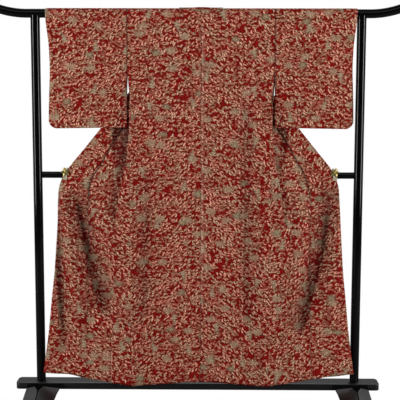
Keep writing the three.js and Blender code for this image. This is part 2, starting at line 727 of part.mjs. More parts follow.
// A spring clip: a strap over the rail that pinches the collar's edge against it. Its profile is
// measured from the rail's axis.
const CLIP = { width: 19, front: -19.2, back: 15, top: 27, jaw: 20, thick: 2.6 };
const CLIP_X = { left: 578, right: 572 };

function clip(side, sign) {
  const { width, front, back, top, jaw, thick } = CLIP;
  const backJaw = jaw - 5;
  const profile = new THREE.Shape();
  profile.moveTo(front, -jaw).lineTo(front, top).lineTo(back, top).lineTo(back, -backJaw);
  profile.lineTo(back + thick, -backJaw).lineTo(back + thick, top + thick);
  profile.lineTo(front - thick, top + thick).lineTo(front - thick, -jaw).closePath();
  const strap = new THREE.ExtrudeGeometry(profile, { depth: width, bevelEnabled: false });
  // The profile's axes become the part's Y and Z, and its depth runs along X.
  const [x, y, z] = [new THREE.Vector3(1, 0, 0), new THREE.Vector3(0, 1, 0), new THREE.Vector3(0, 0, 1)];
  strap.applyMatrix4(new THREE.Matrix4().makeBasis(y, z, x));
  return strap.translate(KIMONO_X + sign * CLIP_X[side] - width / 2, 0, RAIL_HEIGHT);
}

// The clip's ornament: a small gilt leaf of five points on the front jaw.
const LEAF = { radius: 22, waist: 11, thick: 3.6, points: 5, tilt: 14, lift: 13 };

function leaf(side, sign) {
  const { radius, waist, thick, points, tilt, lift } = LEAF;
  const shape = new THREE.Shape();
  for (let k = 0; k < 2 * points; k++) {
    const a = (Math.PI * k) / points + sign * radians(tilt);
    const r = k % 2 ? waist : radius;
    if (k) shape.lineTo(r * Math.sin(a), r * Math.cos(a));
    else shape.moveTo(r * Math.sin(a), r * Math.cos(a));
  }
  const disc = new THREE.ExtrudeGeometry(shape, { depth: thick, bevelEnabled: false });
  disc.rotateX(Math.PI / 2);
  const x = KIMONO_X + sign * (CLIP_X[side] - 2);
  return disc.translate(x, CLIP.front - CLIP.thick - FIT, RAIL_HEIGHT + lift);
}

// ---- The part ----------------------------------------------------------------------------------

const material = (color, roughness, metalness = 0) =>
  new THREE.MeshStandardMaterial({ color, roughness, metalness });
const CREPE = material(0xa8605a, 0.8);
const LACQUER = material(0x0c0c0d, 0.22);
const GILT = material(0xb89a52, 0.35, 0.9);

const part = new THREE.Group();
function add(name, geometry, finish) {
  const mesh = new THREE.Mesh(geometry, finish);
  mesh.name = name;
  part.add(mesh);
}

for (const [side, sign] of [["left", -1], ["right", 1]]) {
  add(`back_${side}`, backPanel(side), CREPE);
  add(`front_${side}`, frontPanel(side), CREPE);
  add(`overlap_${side}`, overlap(side), CREPE);
  add(`sleeve_${side}`, sleeve(side), CREPE);
  add(`clip_${side}`, clip(side, sign), GILT);
  add(`leaf_${side}`, leaf(side, sign), GILT);
  add(`post_${side}`, post(sign), LACQUER);
  add(`foot_${side}`, foot(sign), LACQUER);
}
add("collar", collar(), CREPE);
add("top_bar", topBar(), LACQUER);
add("rail", rail(), LACQUER);
add("beam", beam(), LACQUER);

export default part;
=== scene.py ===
"""A komon kimono hung by its sleeves on a lacquered stand, its back to the viewer and both fronts
folded out behind it to the sides, where two gilt clips hold them to the stand's rail.

The tables are in millimetres, as on a cutting sheet, and MM turns them into Blender's metres.
"Drop" is a depth below the cloth's top. Each half of the kimono is worked out for the wearer's
right side, and the left one is its mirror image with its own folds.
"""

import math

import bmesh
import bpy
import numpy as np
from mathutils import Matrix, Vector

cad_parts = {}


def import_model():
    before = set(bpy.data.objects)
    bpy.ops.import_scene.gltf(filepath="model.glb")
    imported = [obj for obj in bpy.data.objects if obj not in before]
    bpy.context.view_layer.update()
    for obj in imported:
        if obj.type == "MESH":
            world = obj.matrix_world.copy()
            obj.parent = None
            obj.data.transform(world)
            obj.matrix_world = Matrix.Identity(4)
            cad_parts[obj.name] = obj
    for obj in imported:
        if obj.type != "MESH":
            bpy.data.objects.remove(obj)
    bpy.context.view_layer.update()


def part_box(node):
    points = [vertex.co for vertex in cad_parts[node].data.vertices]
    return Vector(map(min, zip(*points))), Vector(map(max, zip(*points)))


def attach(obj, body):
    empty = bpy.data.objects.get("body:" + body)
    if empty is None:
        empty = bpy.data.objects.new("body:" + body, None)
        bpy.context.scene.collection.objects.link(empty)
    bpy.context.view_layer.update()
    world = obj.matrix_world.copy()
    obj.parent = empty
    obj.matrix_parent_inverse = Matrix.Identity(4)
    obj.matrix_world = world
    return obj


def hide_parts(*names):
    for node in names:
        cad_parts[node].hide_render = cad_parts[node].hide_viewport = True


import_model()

MM = 0.001


# ---- Sizes read from the frame -----------------------------------------------------------------


def span(node, axis):
    """A node's lowest and highest place along an axis, in millimetres."""
    low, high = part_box(node)
    return low[axis] / MM, high[axis] / MM


def centre(node, axis):
    return sum(span(node, axis)) / 2


def half_size(node, axis):
    low, high = span(node, axis)
    return (high - low) / 2


BAR_RADIUS = half_size("top_bar", 1)
BAR_HEIGHT = span("top_bar", 2)[0] + BAR_RADIUS
CLOTH_TOP = span("sleeve_right", 2)[1]
KIMONO_X = (span("sleeve_left", 0)[0] + span("sleeve_right", 0)[1]) / 2
RAIL_HEIGHT = centre("rail", 2)
RAIL_RADIUS = half_size("rail", 2)
POST_X = centre("post_right", 0)
POST_RADIUS = half_size("post_right", 0)
BEAM_BOTTOM, BEAM_TOP = span("beam", 2)

# ---- Kimono: the sizes its pieces share --------------------------------------------------------

CLOTH = 1.4
COLLAR_CLOTH = 3
PRESSED = 0.5  # a piece's edges are pressed to this share of its thickness
SEAM = 0.06
SHOULDER = 310
NECK_HALF = 95
NECK_BACK_ANGLE = 36
COLLAR_HUMP = 4
SLEEVE_DROP = 499  # at the body, and SLEEVE_SAG lower at the wrist
SLEEVE_SAG = 5
SLEEVE_JOIN_DROP = 230
SLEEVE_LEAN = 3  # below that, its inner edge stands off the body by this much
WRIST_OPEN_DROP = 225
SLEEVE_CORNER = 36
HEM_DROP = 1610
HEM_RISE_MIDDLE = 10  # the hem is this much higher at the middle seam
HEM_RISE_TO = 0.85  # and that rise runs out at this share of the panel's width
BAR_DROP = CLOTH_TOP - BAR_HEIGHT
WRAP = BAR_DROP - 1  # radius of the cloth's middle over the bar
SHOULDER_ARC = WRAP * math.pi / 2


class Table:
    """Rows by drop, with smooth values between them that never overshoot the rows."""

    def __init__(self, names, rows):
        data = np.array(rows, float)
        self.drop = data[:, 0]
        self.columns = {name: data[:, k + 1] for k, name in enumerate(names)}

    def at(self, name, drop):
        x, y = self.drop, self.columns[name]
        chord = np.diff(y) / np.diff(x)
        before, after = chord[:-1], chord[1:]
        same_way = before * after > 0
        total = np.where(same_way, before + after, 1)
        inner = np.where(same_way, 2 * before * after / total, 0)
        slope = np.concatenate([chord[:1], inner, chord[-1:]])
        d = np.clip(drop, x[0], x[-1])
        i = np.clip(np.searchsorted(x, d, side="right") - 1, 0, len(x) - 2)
        gap = x[i + 1] - x[i]
        t = (d - x[i]) / gap
        rise = y[i + 1] - y[i]
        m0, m1 = slope[i] * gap, slope[i + 1] * gap
        return y[i] + m0 * t + (3 * rise - 2 * m0 - m1) * t**2 + (m0 + m1 - 2 * rise) * t**3


# The back panel: its half width, and how far its middle and its side hang from the bar's plane.
BACK = Table(
    ("x", "middle", "side"),
    [
        (BAR_DROP, 310, -WRAP, -WRAP),
        (230, 309.5, -22, -22.5),
        (285, 307.5, -22.5, -23.5),
        (320, 305, -22.5, -24.5),
        (350, 301.5, -23, -25),
        (380, 297.5, -23, -26),
        (470, 292, -23.5, -28),
        (560, 294, -24, -31),
        (640, 298, -24.5, -32.5),
        (703, 300, -25, -33.5),
        (820, 300, -25, -37),
        (1000, 300, -26, -43),
        (1250, 298, -31, -51),
        (1610, 292, -42, -64),
    ],
)

# The front panel: it leaves the side seam, turns back at `turn`, runs inward behind the back panel
# to `fold`, and comes out again to its front seam. `lap` and `roll` are the turns' thicknesses.
FRONT = Table(
    ("x", "y", "turn", "lap", "fold", "fold_y", "roll", "seam_x", "seam_y", "seam_drop"),
    [
        (BAR_DROP, 310, WRAP, 310, 0, 97, WRAP, 0, 95, WRAP, BAR_DROP),
        (80, 310, 21.2, 310, 0, 99.5, 23, 0, 99, 23.2, 78),
        (140, 310, 21.5, 310, 0, 105, 23.5, 4, 105, 27.5, 136),
        (215, 309.5, 21.5, 309.5, 0, 108, 24, 8, 124, 34, 208),
        (270, 308, 14, 308, 0, 112, 21, 9, 156, 36, 262),
        (320, 304.5, -2, 304.5, 1, 127, 16, 9, 190, 34, 308),
        (375, 298, -21, 300, 4, 146, 9, 9, 226, 28, 360),
        (440, 294, -27.2, 303, 8, 171, 2, 9, 278, 19, 430),
        (500, 292, -29, 302, 8, 193, -4, 8, 327, 10, 500),
        (560, 294, -31, 306, 8, 221, -11, 8, 369, 0, 563),
        (640, 298, -32.5, 315, 8, 252, -20, 8, 413, -10, 642),
        (703, 300, -33.5, 326, 8, 280, -25.5, 8, 448, -17, 700),
        (760, 300, -35, 340, 8, 306, -27, 8, 468, -19, 758),
        (820, 300, -37, 350, 7, 328, -29, 7, 474, -22, 816),
        (880, 300, -39, 358, 4, 350, -32, 4, 476, -26, 873),
        (950, 300, -41.3, 366, 0, 366, -38, 0, 475, -29, 940),
        (1250, 298, -51, 372, 0, 372, -45, 0, 479, -38, 1233),
        (1610, 292, -64, 378, 0, 378, -60, 0, 488, -50, 1584),
    ],
)

# The collar's outer edge, and below the collar's end the overlap's front edge.
EDGE = Table(
    ("x", "y"),
    [
        (192, 172, 50),
        (230, 203, 38),
        (280, 244, 36),
        (345, 300, 28),
        (430, 366, 18),
        (504, 423, 9),
        (600, 500, -6),
        (672, 558, -17),
        (715, 584, -17),
        (765, 598, -18),
        (800, 601, -20),
        (908, 607, -23),
        (1112, 620, -27),
        (1243, 634, -29),
        (1376, 648, -30),
        (1563, 673, -34),
    ],
)
COLLAR_END_DROP = 790
COLLAR_WIDTH = 55
COLLAR_SEAM_SHADE = (0.15, 2.2)  # painted shade along its seam: how dark it is, and how wide
COLLAR_SLANT_X = 42.6  # from the outer edge square across to the collar's seam
COLLAR_SLANT_DROP = 34.8
COLLAR_STRAIGHTENS = 715  # from here its end turns square to the overlap's edge
EDGE_LAST = EDGE.drop[-1]

# The fronts hang a little towards the wearer's left: how far, by the drop.
SWAY = Table(("x",), [(250, 0), (480, -4.5), (640, -4.5), (740, -8), (1610, -8)])

# Half the width of the sleeves, from the kimono's middle to the wrist's edge.
WRIST = Table(
    ("x",),
    [
        (BAR_DROP, 652),
        (64, 649.5),
        (115, 643.5),
        (165, 639),
        (215, 638),
        (266, 639),
        (341, 642.5),
        (417, 645.5),
        (SLEEVE_DROP + SLEEVE_SAG, 647.5),
    ],
)

# The collar round the neck: where each station's seam and outer edge lie, as x, the angle from the
# bar's crest towards the front, and the distance from the bar's axis.
NAPE = [
    ((0, -33, 21.4), (0, 111, 25)),
    ((45, -33, 21.4), (32, 113, 26.5)),
    ((80, -32, 21.4), (54, 115, 29)),
    ((91, -27, 21.4), (63, 117, 31)),
    ((93, -10, 21.4), (68, 118, 36)),
    ((93, 25, 21.4), (75, 124, 46)),
    ((93, 65, 21.4), (82, 130, 60)),
    ((93, 95, 21.6), (88, 132, 70)),
    ((94.5, 149, 45), (97, 143, 101)),
    ((97.5, 162.5, 87), (118, 145.5, 127)),
    ((103.5, 165.2, 132), (147, 153.8, 145)),
    ((122, 168.6, 183), (172, 163.6, 177.4)),
]

# ---- Soft folds --------------------------------------------------------------------------------

# name, places across at the top, middle and bottom, their drops, half width, depth away from the
# viewer of the back (a ridge is negative)
FOLDS = {
    "left": [
        ("side trough", (226, 230, 240), (640, 1000, 1260), 28, 15),
        ("side ridge", (290, 296, 300), (760, 1100, 1600), 36, -9),
        ("middle ease", (110, 128, 140), (600, 1050, 1480), 60, 5),
        ("under the side", (322, 340, 350), (430, 500, 560), 26, 14),
        ("clip trough", (540, 470, 408), (740, 1010, 1240), 56, 35),
        ("clip ridge", (578, 548, 510), (740, 1030, 1290), 24, -22),
        ("edge trough", (606, 590, 580), (800, 1090, 1420), 26, 20),
        ("seam ridge", (430, 380, 326), (740, 960, 1260), 32, -20),
    ],
    "right": [
        ("side trough", (188, 192, 200), (360, 900, 1300), 26, 15),
        ("side ridge", (250, 262, 270), (600, 1100, 1600), 36, -9),
        ("middle ease", (110, 128, 140), (600, 1050, 1480), 60, 5),
        ("side crease", (256, 278, 300), (470, 560, 600), 7, 4),
        ("under the side", (318, 334, 344), (430, 500, 560), 24, 13),
        ("clip trough", (564, 526, 430), (700, 1010, 1330), 52, 38),
        ("clip ridge", (588, 578, 566), (790, 960, 1300), 18, -8),
        ("seam ridge", (440, 420, 372), (740, 1000, 1330), 34, -20),
        ("low trough", (520, 540, 556), (1200, 1400, 1600), 30, 8),
    ],
}
FOLD_FADE = 110  # the length over which a fold begins, and over which it ends
FOLD_SHADE = 0.4  # the painted shade in a trough as deep as SHADE_DEPTH
SHADE_DEPTH = 30
SHADE_LEAST_DEPTH = 14.5  # shallower folds gather none
SHADE_NARROWER = 1.15  # it keeps to the middle of the trough
RAIL_PRESS = 0.85  # how much flatter the cloth lies where it passes the rail
RAIL_PRESS_REACH = 60


def mix(a, b, t):
    return a + (b - a) * t


def ease(t):
    s = np.clip(t, 0, 1)
    return s * s * (3 - 2 * s)


def swell(drop, start, full, fade, gone):
    """A share that rises from 0 at `start` to 1 at `full`, and falls back between `fade` and `gone`."""
    return ease((drop - start) / (full - start)) * (1 - ease((drop - fade) / (gone - fade)))


def near(distance, width):
    """1 on a line, falling to 0 over a few of the widths."""
    return np.exp(-((distance / width) ** 2))


def fold_forms(side, x, drop, narrower=1):
    """Each fold's depth, and how much of it there is at a place."""
    for _, across, (top, middle, low), width, depth in FOLDS[side]:
        line = np.interp(drop, (top, middle, low), across)
        grown = swell(drop, top, top + FOLD_FADE, low, low + FOLD_FADE)
        yield depth, grown * near(x - line, width / narrower)


def fold_depth(side, x, drop):
    """How far the soft folds move the cloth at a place, away from the viewer of the back."""
    flatter = RAIL_PRESS * near(CLOTH_TOP - drop - RAIL_HEIGHT, RAIL_PRESS_REACH)
    return sum(depth * share for depth, share in fold_forms(side, x, drop)) * (1 - flatter)


def fold_shade(side, x, drop):
    """The painted shade in the deep troughs, where shade gathers, 0 to 1."""
    forms = [form for form in fold_forms(side, x, drop, SHADE_NARROWER) if form[0] > SHADE_LEAST_DEPTH]
    return sum(FOLD_SHADE * math.sqrt(depth / SHADE_DEPTH) * share for depth, share in forms)


RIPPLE_WAVES = 7
RIPPLE_ACROSS = (55, 190)  # the least and the greatest length of a wave
RIPPLE_DOWN = (220, 900)
RIPPLE_LEAN = 0.25
RIPPLE_SUM = 4.5  # the waves seldom add up to more than this

# Each piece's unevenness: how strong it is, and its seed on the right. The left one's is the next.
UNEVEN = {
    "back": (1.3, 11),
    "front": (1.2, 21),
    "overlap": (1.1, 31),
    "sleeve_back": (1.5, 41),
    "sleeve_front": (1.5, 46),
}


def ripple(u, v, seed):
    """The unevenness of hanging crepe, about 1 at its most: long soft waves with seeded phases."""
    draw = np.random.default_rng(seed)
    total = np.zeros(np.broadcast(u, v).shape)
    for _ in range(RIPPLE_WAVES):
        across, down = draw.uniform(*RIPPLE_ACROSS), draw.uniform(*RIPPLE_DOWN)
        lean, phase = draw.uniform(-RIPPLE_LEAN, RIPPLE_LEAN), draw.uniform(0, math.tau)
        total += np.sin(math.tau * (u / across + lean * v / across + v / down) + phase)
    return total / RIPPLE_SUM


def unevenness(piece, side, u, v):
    strength, seed = UNEVEN[piece]
    return strength * ripple(u, v, seed + (side == "left"))


# ---- Building shells of cloth ------------------------------------------------------------------


SIGN = {"left": -1, "right": 1}


def place(side, x, y, drop, swing=0):
    """Points of the right half, carried to their own side and to where the kimono hangs.

    `swing` is their share of the fronts' sway.
    """
    x, y, drop, swing = np.broadcast_arrays(x, y, drop, swing)
    across = KIMONO_X + SIGN[side] * x + swing * SWAY.at("x", drop)
    return np.stack([across, y, CLOTH_TOP - drop], axis=-1).astype(float)


def over_bar(side, x, degrees, radius):
    """Points on the bar's round top, `degrees` from its crest towards the front."""
    a = np.radians(degrees)
    return place(side, x, radius * np.sin(a), BAR_DROP - radius * np.cos(a))


def normals(grid, loop=False):
    """Unit normals of a grid of points (rows, columns, 3)."""
    if loop:
        padded = np.concatenate([grid[:, -1:], grid, grid[:, :1]], axis=1)
        across = (padded[:, 2:] - padded[:, :-2]) / 2
    else:
        across = np.gradient(grid, axis=1)
    down = np.gradient(grid, axis=0)
    n = np.cross(across, down)
    return n / np.maximum(np.linalg.norm(n, axis=2, keepdims=True), 1e-9)


def around(mask, loop):
    """How many of the four cells round each point of a grid are kept."""
    rows, columns = mask.shape
    count = np.zeros((rows + 1, columns if loop else columns + 1), int)
    cells = mask.astype(int)
    for dr in (0, 1):
        if loop:
            count[dr : rows + dr] += cells + np.roll(cells, 1, axis=1)
        else:
            count[dr : rows + dr, :columns] += cells
            count[dr : rows + dr, 1:] += cells
    return count


def shell(name, grid, uv, outward, seam, thick=CLOTH, keep=None, loop=False, skins=("print", "reverse")):
    """A thin closed shell on a grid of points in millimetres, with its print laid out by uv.

    outward has the sign that turns the grid's own normals to the cloth's face. seam is the painted
    shade, 0 to 1, or a painted light below 0. keep marks the cells of the grid that hold cloth.
    """
    rows, columns = grid.shape[:2]
    cell_columns = columns if loop else columns - 1
    if keep is None:
        keep = np.ones((rows - 1, cell_columns), bool)
    count = around(keep, loop)
    half = np.where(count == 4, thick, thick * PRESSED)[..., None] / 2
    n = normals(grid, loop) * outward
    outer, inner = grid + n * half, grid - n * half
    used = count > 0
    total = int(used.sum())
    index = np.full((rows, columns), -1)
    index[used] = np.arange(total)
    points = np.concatenate([outer[used], inner[used]]) * MM

    faces, skin, layout = [], [], []

    def face(corners, layers, material):
        """corners are (row, column) pairs, whose column may run one past the end of a loop, and
        layers has 0 for a corner on the outer side and 1 for one on the inner side."""
        faces.append([int(index[r, c % columns]) + layer * total for (r, c), layer in zip(corners, layers)])
        layout.extend(uv[r, c] for r, c in corners)
        skin.append(material)

    def kept(r, c):
        if loop:
            c %= columns
        return 0 <= r < rows - 1 and 0 <= c < cell_columns and keep[r, c]

    for r, c in np.argwhere(keep):
        p, q, s, t = (r, c), (r, c + 1), (r + 1, c + 1), (r + 1, c)
        quads = (p, q, s, t), (t, s, q, p)
        front, back = quads if outward > 0 else quads[::-1]
        face(front, (0, 0, 0, 0), 0)
        face(back, (1, 1, 1, 1), 1)
        for a, b, down, across in ((p, q, -1, 0), (s, t, 1, 0), (t, p, 0, -1), (q, s, 0, 1)):
            if not kept(r + down, c + across):
                face((b, a, a, b) if outward > 0 else (a, b, b, a), (0, 0, 1, 1), 0)

    mesh = bpy.data.meshes.new(name)
    mesh.from_pydata(points.tolist(), [], faces)
    mesh.uv_layers.new(name="cut").data.foreach_set("uv", (np.array(layout) * MM).ravel())
    mesh.polygons.foreach_set("material_index", skin)
    shade = np.broadcast_to(seam, (rows, columns))[used]
    painted = mesh.attributes.new("seam", "FLOAT", "POINT")
    painted.data.foreach_set("value", np.concatenate([shade, shade]))
    mesh.shade_smooth()
    mesh.update()
    for key in skins:
        mesh.materials.append(MATERIALS[key])
    return linked(name, mesh)


def linked(name, data):
    """An object of the mesh, lamp or camera, put in the scene."""
    made = bpy.data.objects.new(name, data)
    bpy.context.scene.collection.objects.link(made)
    return made


def seam_line(distance, depth=1.0, width=3.2):
    """How far the cloth dips in towards a seam, by the distance from it."""
    return -depth * near(distance, width)


def clustered(length, step, edge=(1.2, 3, 6)):
    """Distances along a width: even steps, with a few close ones by both edges for the seams."""
    inner = np.linspace(edge[-1], length - edge[-1], max(2, round((length - 2 * edge[-1]) / step)) + 1)
    close = np.array([0, *edge[:-1]])
    return np.concatenate([close, inner, length - close[::-1]])


def rows_between(top, bottom, step):
    return np.linspace(top, bottom, max(1, round((bottom - top) / step)) + 1)


def whole(grid):
    """All the cells of a grid of points, as cloth."""
    return np.ones((grid.shape[0] - 1, grid.shape[1] - 1), bool)


# ---- Back panels -------------------------------------------------------------------------------

ROW_STEP = 11
COLUMN_STEP = 6.5
SIDE_SEAM_DIP = 0.25  # pressed flat, so it hardly shows
BAR_DIP = 0.6  # how much of a seam's dip is left on the bar
PRINT_START = {  # where on its bolt each piece was cut, so that no two show the same print
    "back_right": (0, 0),
    "back_left": (1337, 420),
    "front_right": (2711, 910),
    "front_left": (3923, 150),
    "overlap_right": (5177, 333),
    "overlap_left": (6211, 777),
    "sleeve_right": (7013, 505),
    "sleeve_left": (8291, 222),
    "collar": (9137, 111),
}


def printed(name, u, v):
    start = PRINT_START[name]
    u, v = np.broadcast_arrays(u, v)
    return np.stack([u + start[0], v + start[1]], axis=-1)


SLEEVE_SEAM_WIDTH = 2.4
SLEEVE_SEAM_FADE = 15


def sleeve_seam_shade(distance, drop):
    """The painted shade along the line where a sleeve is sewn to the body, down to where they part."""
    return 0.9 * near(distance, SLEEVE_SEAM_WIDTH) * ease((SLEEVE_JOIN_DROP - drop) / SLEEVE_SEAM_FADE + 1)


NECK_COLUMNS = 15
NECK_BACK_ROW = -NECK_BACK_ANGLE - 1  # the wall ends a little below the collar's seam
BACK_ANGLES = np.array([*range(-84, -41, 6), NECK_BACK_ROW, *range(-30, -5, 6), -0.5])[:, None]
MIDDLE_SEAM_SHADE = (0.4, 2.2)  # painted shade along the middle seam: how dark it is, and how wide
SEAM_GLEAM = 0.2  # a painted highlight: the middle seam's turnings lift the right half here, and it catches the light
SEAM_GLEAM_AT = 7
SEAM_GLEAM_WIDTH = 4
SEAM_GLEAM_SEED = 13


def seam_gleam(across, drop):
    """A painted highlight: the broken pale line beside the middle seam."""
    patchy = 1 + 0.5 * ripple(0, drop * 4, SEAM_GLEAM_SEED)
    lifted = swell(drop, 60, 120, 1200, 1350) * patchy
    return SEAM_GLEAM * near(across - SEAM_GLEAM_AT, SEAM_GLEAM_WIDTH) * lifted


def back_panel(side):
    name = f"back_{side}"
    neck = np.linspace(0, NECK_HALF, NECK_COLUMNS + 1)
    beside_neck = NECK_HALF + clustered(SHOULDER - NECK_HALF, COLUMN_STEP)
    across = np.concatenate([[0, 1.2, 3], neck[1:-1], beside_neck])
    shares = across / SHOULDER
    drops = rows_between(BAR_DROP, HEM_DROP, ROW_STEP)[::-1, None]
    half = BACK.at("x", drops)
    x = mix(SEAM / 2, half - SEAM / 2, shares)
    y = mix(BACK.at("middle", drops), BACK.at("side", drops), shares**2)
    rise = HEM_RISE_MIDDLE * ease(1 - shares / HEM_RISE_TO) * ease((drops - BAR_DROP) / (HEM_DROP - BAR_DROP))
    wave = unevenness("back", side, x, drops) * ease((drops - 40) / 260) * (1 - 0.8 * shares**8)
    dips = seam_line(x) + seam_line(half - x, SIDE_SEAM_DIP)
    hanging = place(side, x, y + fold_depth(side, x, drops) - wave - dips, drops - rise)

    wide = mix(SEAM / 2, SHOULDER - SEAM / 2, shares)
    dip = seam_line(wide) + seam_line(SHOULDER - wide)
    wrapped = over_bar(side, wide + 0 * BACK_ANGLES, BACK_ANGLES, WRAP + BAR_DIP * dip)
    grid = np.concatenate([hanging, wrapped])
    v = np.concatenate([-(SHOULDER_ARC + drops - BAR_DROP), np.radians(BACK_ANGLES) * WRAP])

    keep = whole(grid)
    neck_row = len(drops) + int(np.argmax(BACK_ANGLES[:, 0] == NECK_BACK_ROW))
    neck_column = int(np.argmax(across == NECK_HALF))
    keep[neck_row:, :neck_column] = False

    down = np.concatenate([drops, 0 * BACK_ANGLES])
    # painted shade in the deep troughs and along the seams, and on the right a painted highlight by the
    # middle seam
    troughs = fold_shade(side, x, drops) * ease((half - x) / 30 + 0.4)
    seam = np.concatenate([troughs, 0 * (BACK_ANGLES + shares)])
    seam = seam + MIDDLE_SEAM_SHADE[0] * near(across, MIDDLE_SEAM_SHADE[1]) + sleeve_seam_shade(SHOULDER - across, down)
    if side == "right":
        seam = seam - seam_gleam(across, down)
    piece = shell(f"cloth_{name}", grid, printed(name, across, v), SIGN[side], seam, keep=keep)
    return piece


# ---- Front panels ------------------------------------------------------------------------------

SIDE_SEAM_DROP = 390  # below here the side seam joins the front to the back
TURN_HALF = 5
SOFTEN = 4  # how far along the section its corners are rounded
SECTION_CELLS = (3, 3, 3, 9, 9, 9, 3, 3, 7, 7, 7, 7)  # columns of the shell between the stations
FOLDED_DROPS = (150, 230, 850, 960)  # the front is folded behind the back here, and hangs open elsewhere


def front_section(drop):
    """The front's section at a drop: the point at any length of it, its length, and its stations."""
    row = {name: float(FRONT.at(name, drop)) for name in FRONT.columns}
    corners = np.array(
        [
            (row["x"], row["y"]),
            (row["turn"], row["y"]),
            (row["turn"], row["y"] + row["lap"]),
            (row["fold"], row["fold_y"]),
            (row["fold"], row["fold_y"] + row["roll"]),
            (row["seam_x"], row["seam_y"]),
        ]
    )
    steps = np.hypot(*np.diff(corners, axis=0).T)
    lengths = np.concatenate([[0], np.cumsum(steps)])
    total = lengths[-1]
    keys = lengths + np.arange(6) * 1e-7  # corners that fall together still count as one after another

    def at(length):
        reach = np.minimum(SOFTEN, np.minimum(length, total - length))
        offsets = np.linspace(-1, 1, 9)[:, None] * reach
        return [np.interp(length + offsets, keys, corners[:, k]).mean(axis=0) for k in (0, 1)]

    outer = max((lengths[1] + lengths[2]) / 2, TURN_HALF + 4)
    inner = min(max((lengths[3] + lengths[4]) / 2, outer + 20), total - 12)
    between = np.linspace(outer + TURN_HALF, inner - TURN_HALF, 4)
    rest = np.linspace(inner + TURN_HALF, total, 5)
    stations = [0, outer - TURN_HALF, outer, *between, inner, *rest]
    return at, total, np.array(stations)


def front_lengths(total, stations, drop):
    """Where the shell's columns lie along a section: close at the turns, even where it hangs open."""
    counts = np.concatenate([[0], np.cumsum(SECTION_CELLS)])
    columns = np.arange(counts[-1] + 1)
    folded = np.interp(columns, counts, stations)
    return mix(columns / counts[-1] * total, folded, swell(drop, *FOLDED_DROPS))


# Beside the armhole, how far the front's free edge shows past the back's, and between which drops.
ARMHOLE_SPREAD = {"left": 0, "right": 6.5}
ARMHOLE_SPREAD_DROPS = (240, 290, 378, 400)
ARMHOLE_SPREAD_WIDTH = 30
ARMHOLE_EDGE_SHADE = (0.7, 2)  # painted shade along the front's edge down to the sleeve's end: how dark it is, and how wide

# The painted shade where the front runs deep behind the side's edge, under the sleeve: how strong it
# is on each side, and its two parts' strengths, drops, distances from the edge and widths.
RECESS_SHADE = {"left": 0.95, "right": 0.28}
RECESS_SHADE_PARTS = ((1, (420, 470, 520, 720), 4, 36), (0.4, (560, 640, 800, 940), 14, 30))

OKUMI_SEAM_WIDTH = 4.4
OKUMI_SEAM_FAINT = 0.3
OKUMI_SEAM_FADE = (740, 860)


def okumi_shade(distance, drop):
    """The painted shade along the seam to the overlap: clear where it runs over the recess, faint below."""
    faded = ease((drop - OKUMI_SEAM_FADE[0]) / (OKUMI_SEAM_FADE[1] - OKUMI_SEAM_FADE[0]))
    return mix(1.0, OKUMI_SEAM_FAINT, faded) * near(distance, OKUMI_SEAM_WIDTH)


# painted shade where the front runs deep behind the side's edge
def recess(side, x, drop):
    past = x - FRONT.at("turn", drop)
    shade = 0
    for strength, drops, at, width in RECESS_SHADE_PARTS:
        shade = shade + strength * swell(drop, *drops) * near(past - at, width)
    return RECESS_SHADE[side] * shade * (past > 0.5)


def front_panel(side):
    name = f"front_{side}"
    _, total, stations = front_section(BAR_DROP)
    lengths = front_lengths(total, stations, BAR_DROP)
    angles = np.arange(0.5, 90, 6)[:, None]
    x = mix(SHOULDER - SEAM / 2, NECK_HALF + SEAM, lengths / total)
    parts = [over_bar(side, x + 0 * angles, angles, WRAP + BAR_DIP * seam_line(SHOULDER - x))]
    us = [np.repeat(lengths[None], len(angles), axis=0)]
    vs = [np.radians(angles) * WRAP + 0 * lengths]
    seams = [sleeve_seam_shade(lengths, 0 * angles)]
    for drop in rows_between(BAR_DROP, HEM_DROP, ROW_STEP):
        at, total, stations = front_section(drop)
        lengths = front_lengths(total, stations, drop)
        x, y = at(lengths)
        share, left_over = lengths / total, total - lengths
        low = mix(drop, float(FRONT.at("seam_drop", drop)), share)
        wave = unevenness("front", side, x, low) * ease((drop - 60) / 240)
        wave = wave * ease(lengths / 60) * ease(left_over / 60) * (1 - 0.7 * near(drop - 700, 70))
        inset, dips = -SEAM / 2, seam_line(left_over)
        if drop > SIDE_SEAM_DROP:
            inset = mix(SEAM / 2, -SEAM / 2, share)
            dips = -dips - seam_line(lengths, SIDE_SEAM_DIP)
        spread = ARMHOLE_SPREAD[side] * swell(drop, *ARMHOLE_SPREAD_DROPS)
        spread = spread * near(lengths, ARMHOLE_SPREAD_WIDTH)
        depth = y + fold_depth(side, x, low) - wave + dips
        parts.append(place(side, x + inset + spread, depth, low, share)[None])
        # painted shade: the front's edge by the armhole, the seam to the overlap, the recess and the troughs
        edge = ARMHOLE_EDGE_SHADE[0] * near(lengths, ARMHOLE_EDGE_SHADE[1]) * (drop < SLEEVE_JOIN_DROP)
        shade = okumi_shade(left_over, drop) + edge + recess(side, x, low) + fold_shade(side, x, low)
        seams.append(shade[None])
        us.append(lengths[None])
        vs.append((SHOULDER_ARC + low - BAR_DROP)[None])
    grid = np.concatenate(parts)
    uv = printed(name, np.concatenate(us), np.concatenate(vs))
    piece = shell(f"cloth_{name}", grid, uv, -SIGN[side], np.concatenate(seams))
    return piece


# ---- Overlaps (okumi) --------------------------------------------------------------------------

OVERLAP_TOP = 270
HEM_LIFT = 8  # the left front's lower corner is caught up a little, round HEM_LIFT_X
HEM_LIFT_X = 560


def collar_seam_x(drop):
    return EDGE.at("x", drop - COLLAR_SLANT_DROP) - COLLAR_SLANT_X


def hem_lift(side, x, drop):
    return HEM_LIFT * near(x - HEM_LIFT_X, 60) * ease((drop - 1380) / 200) * (side == "left")


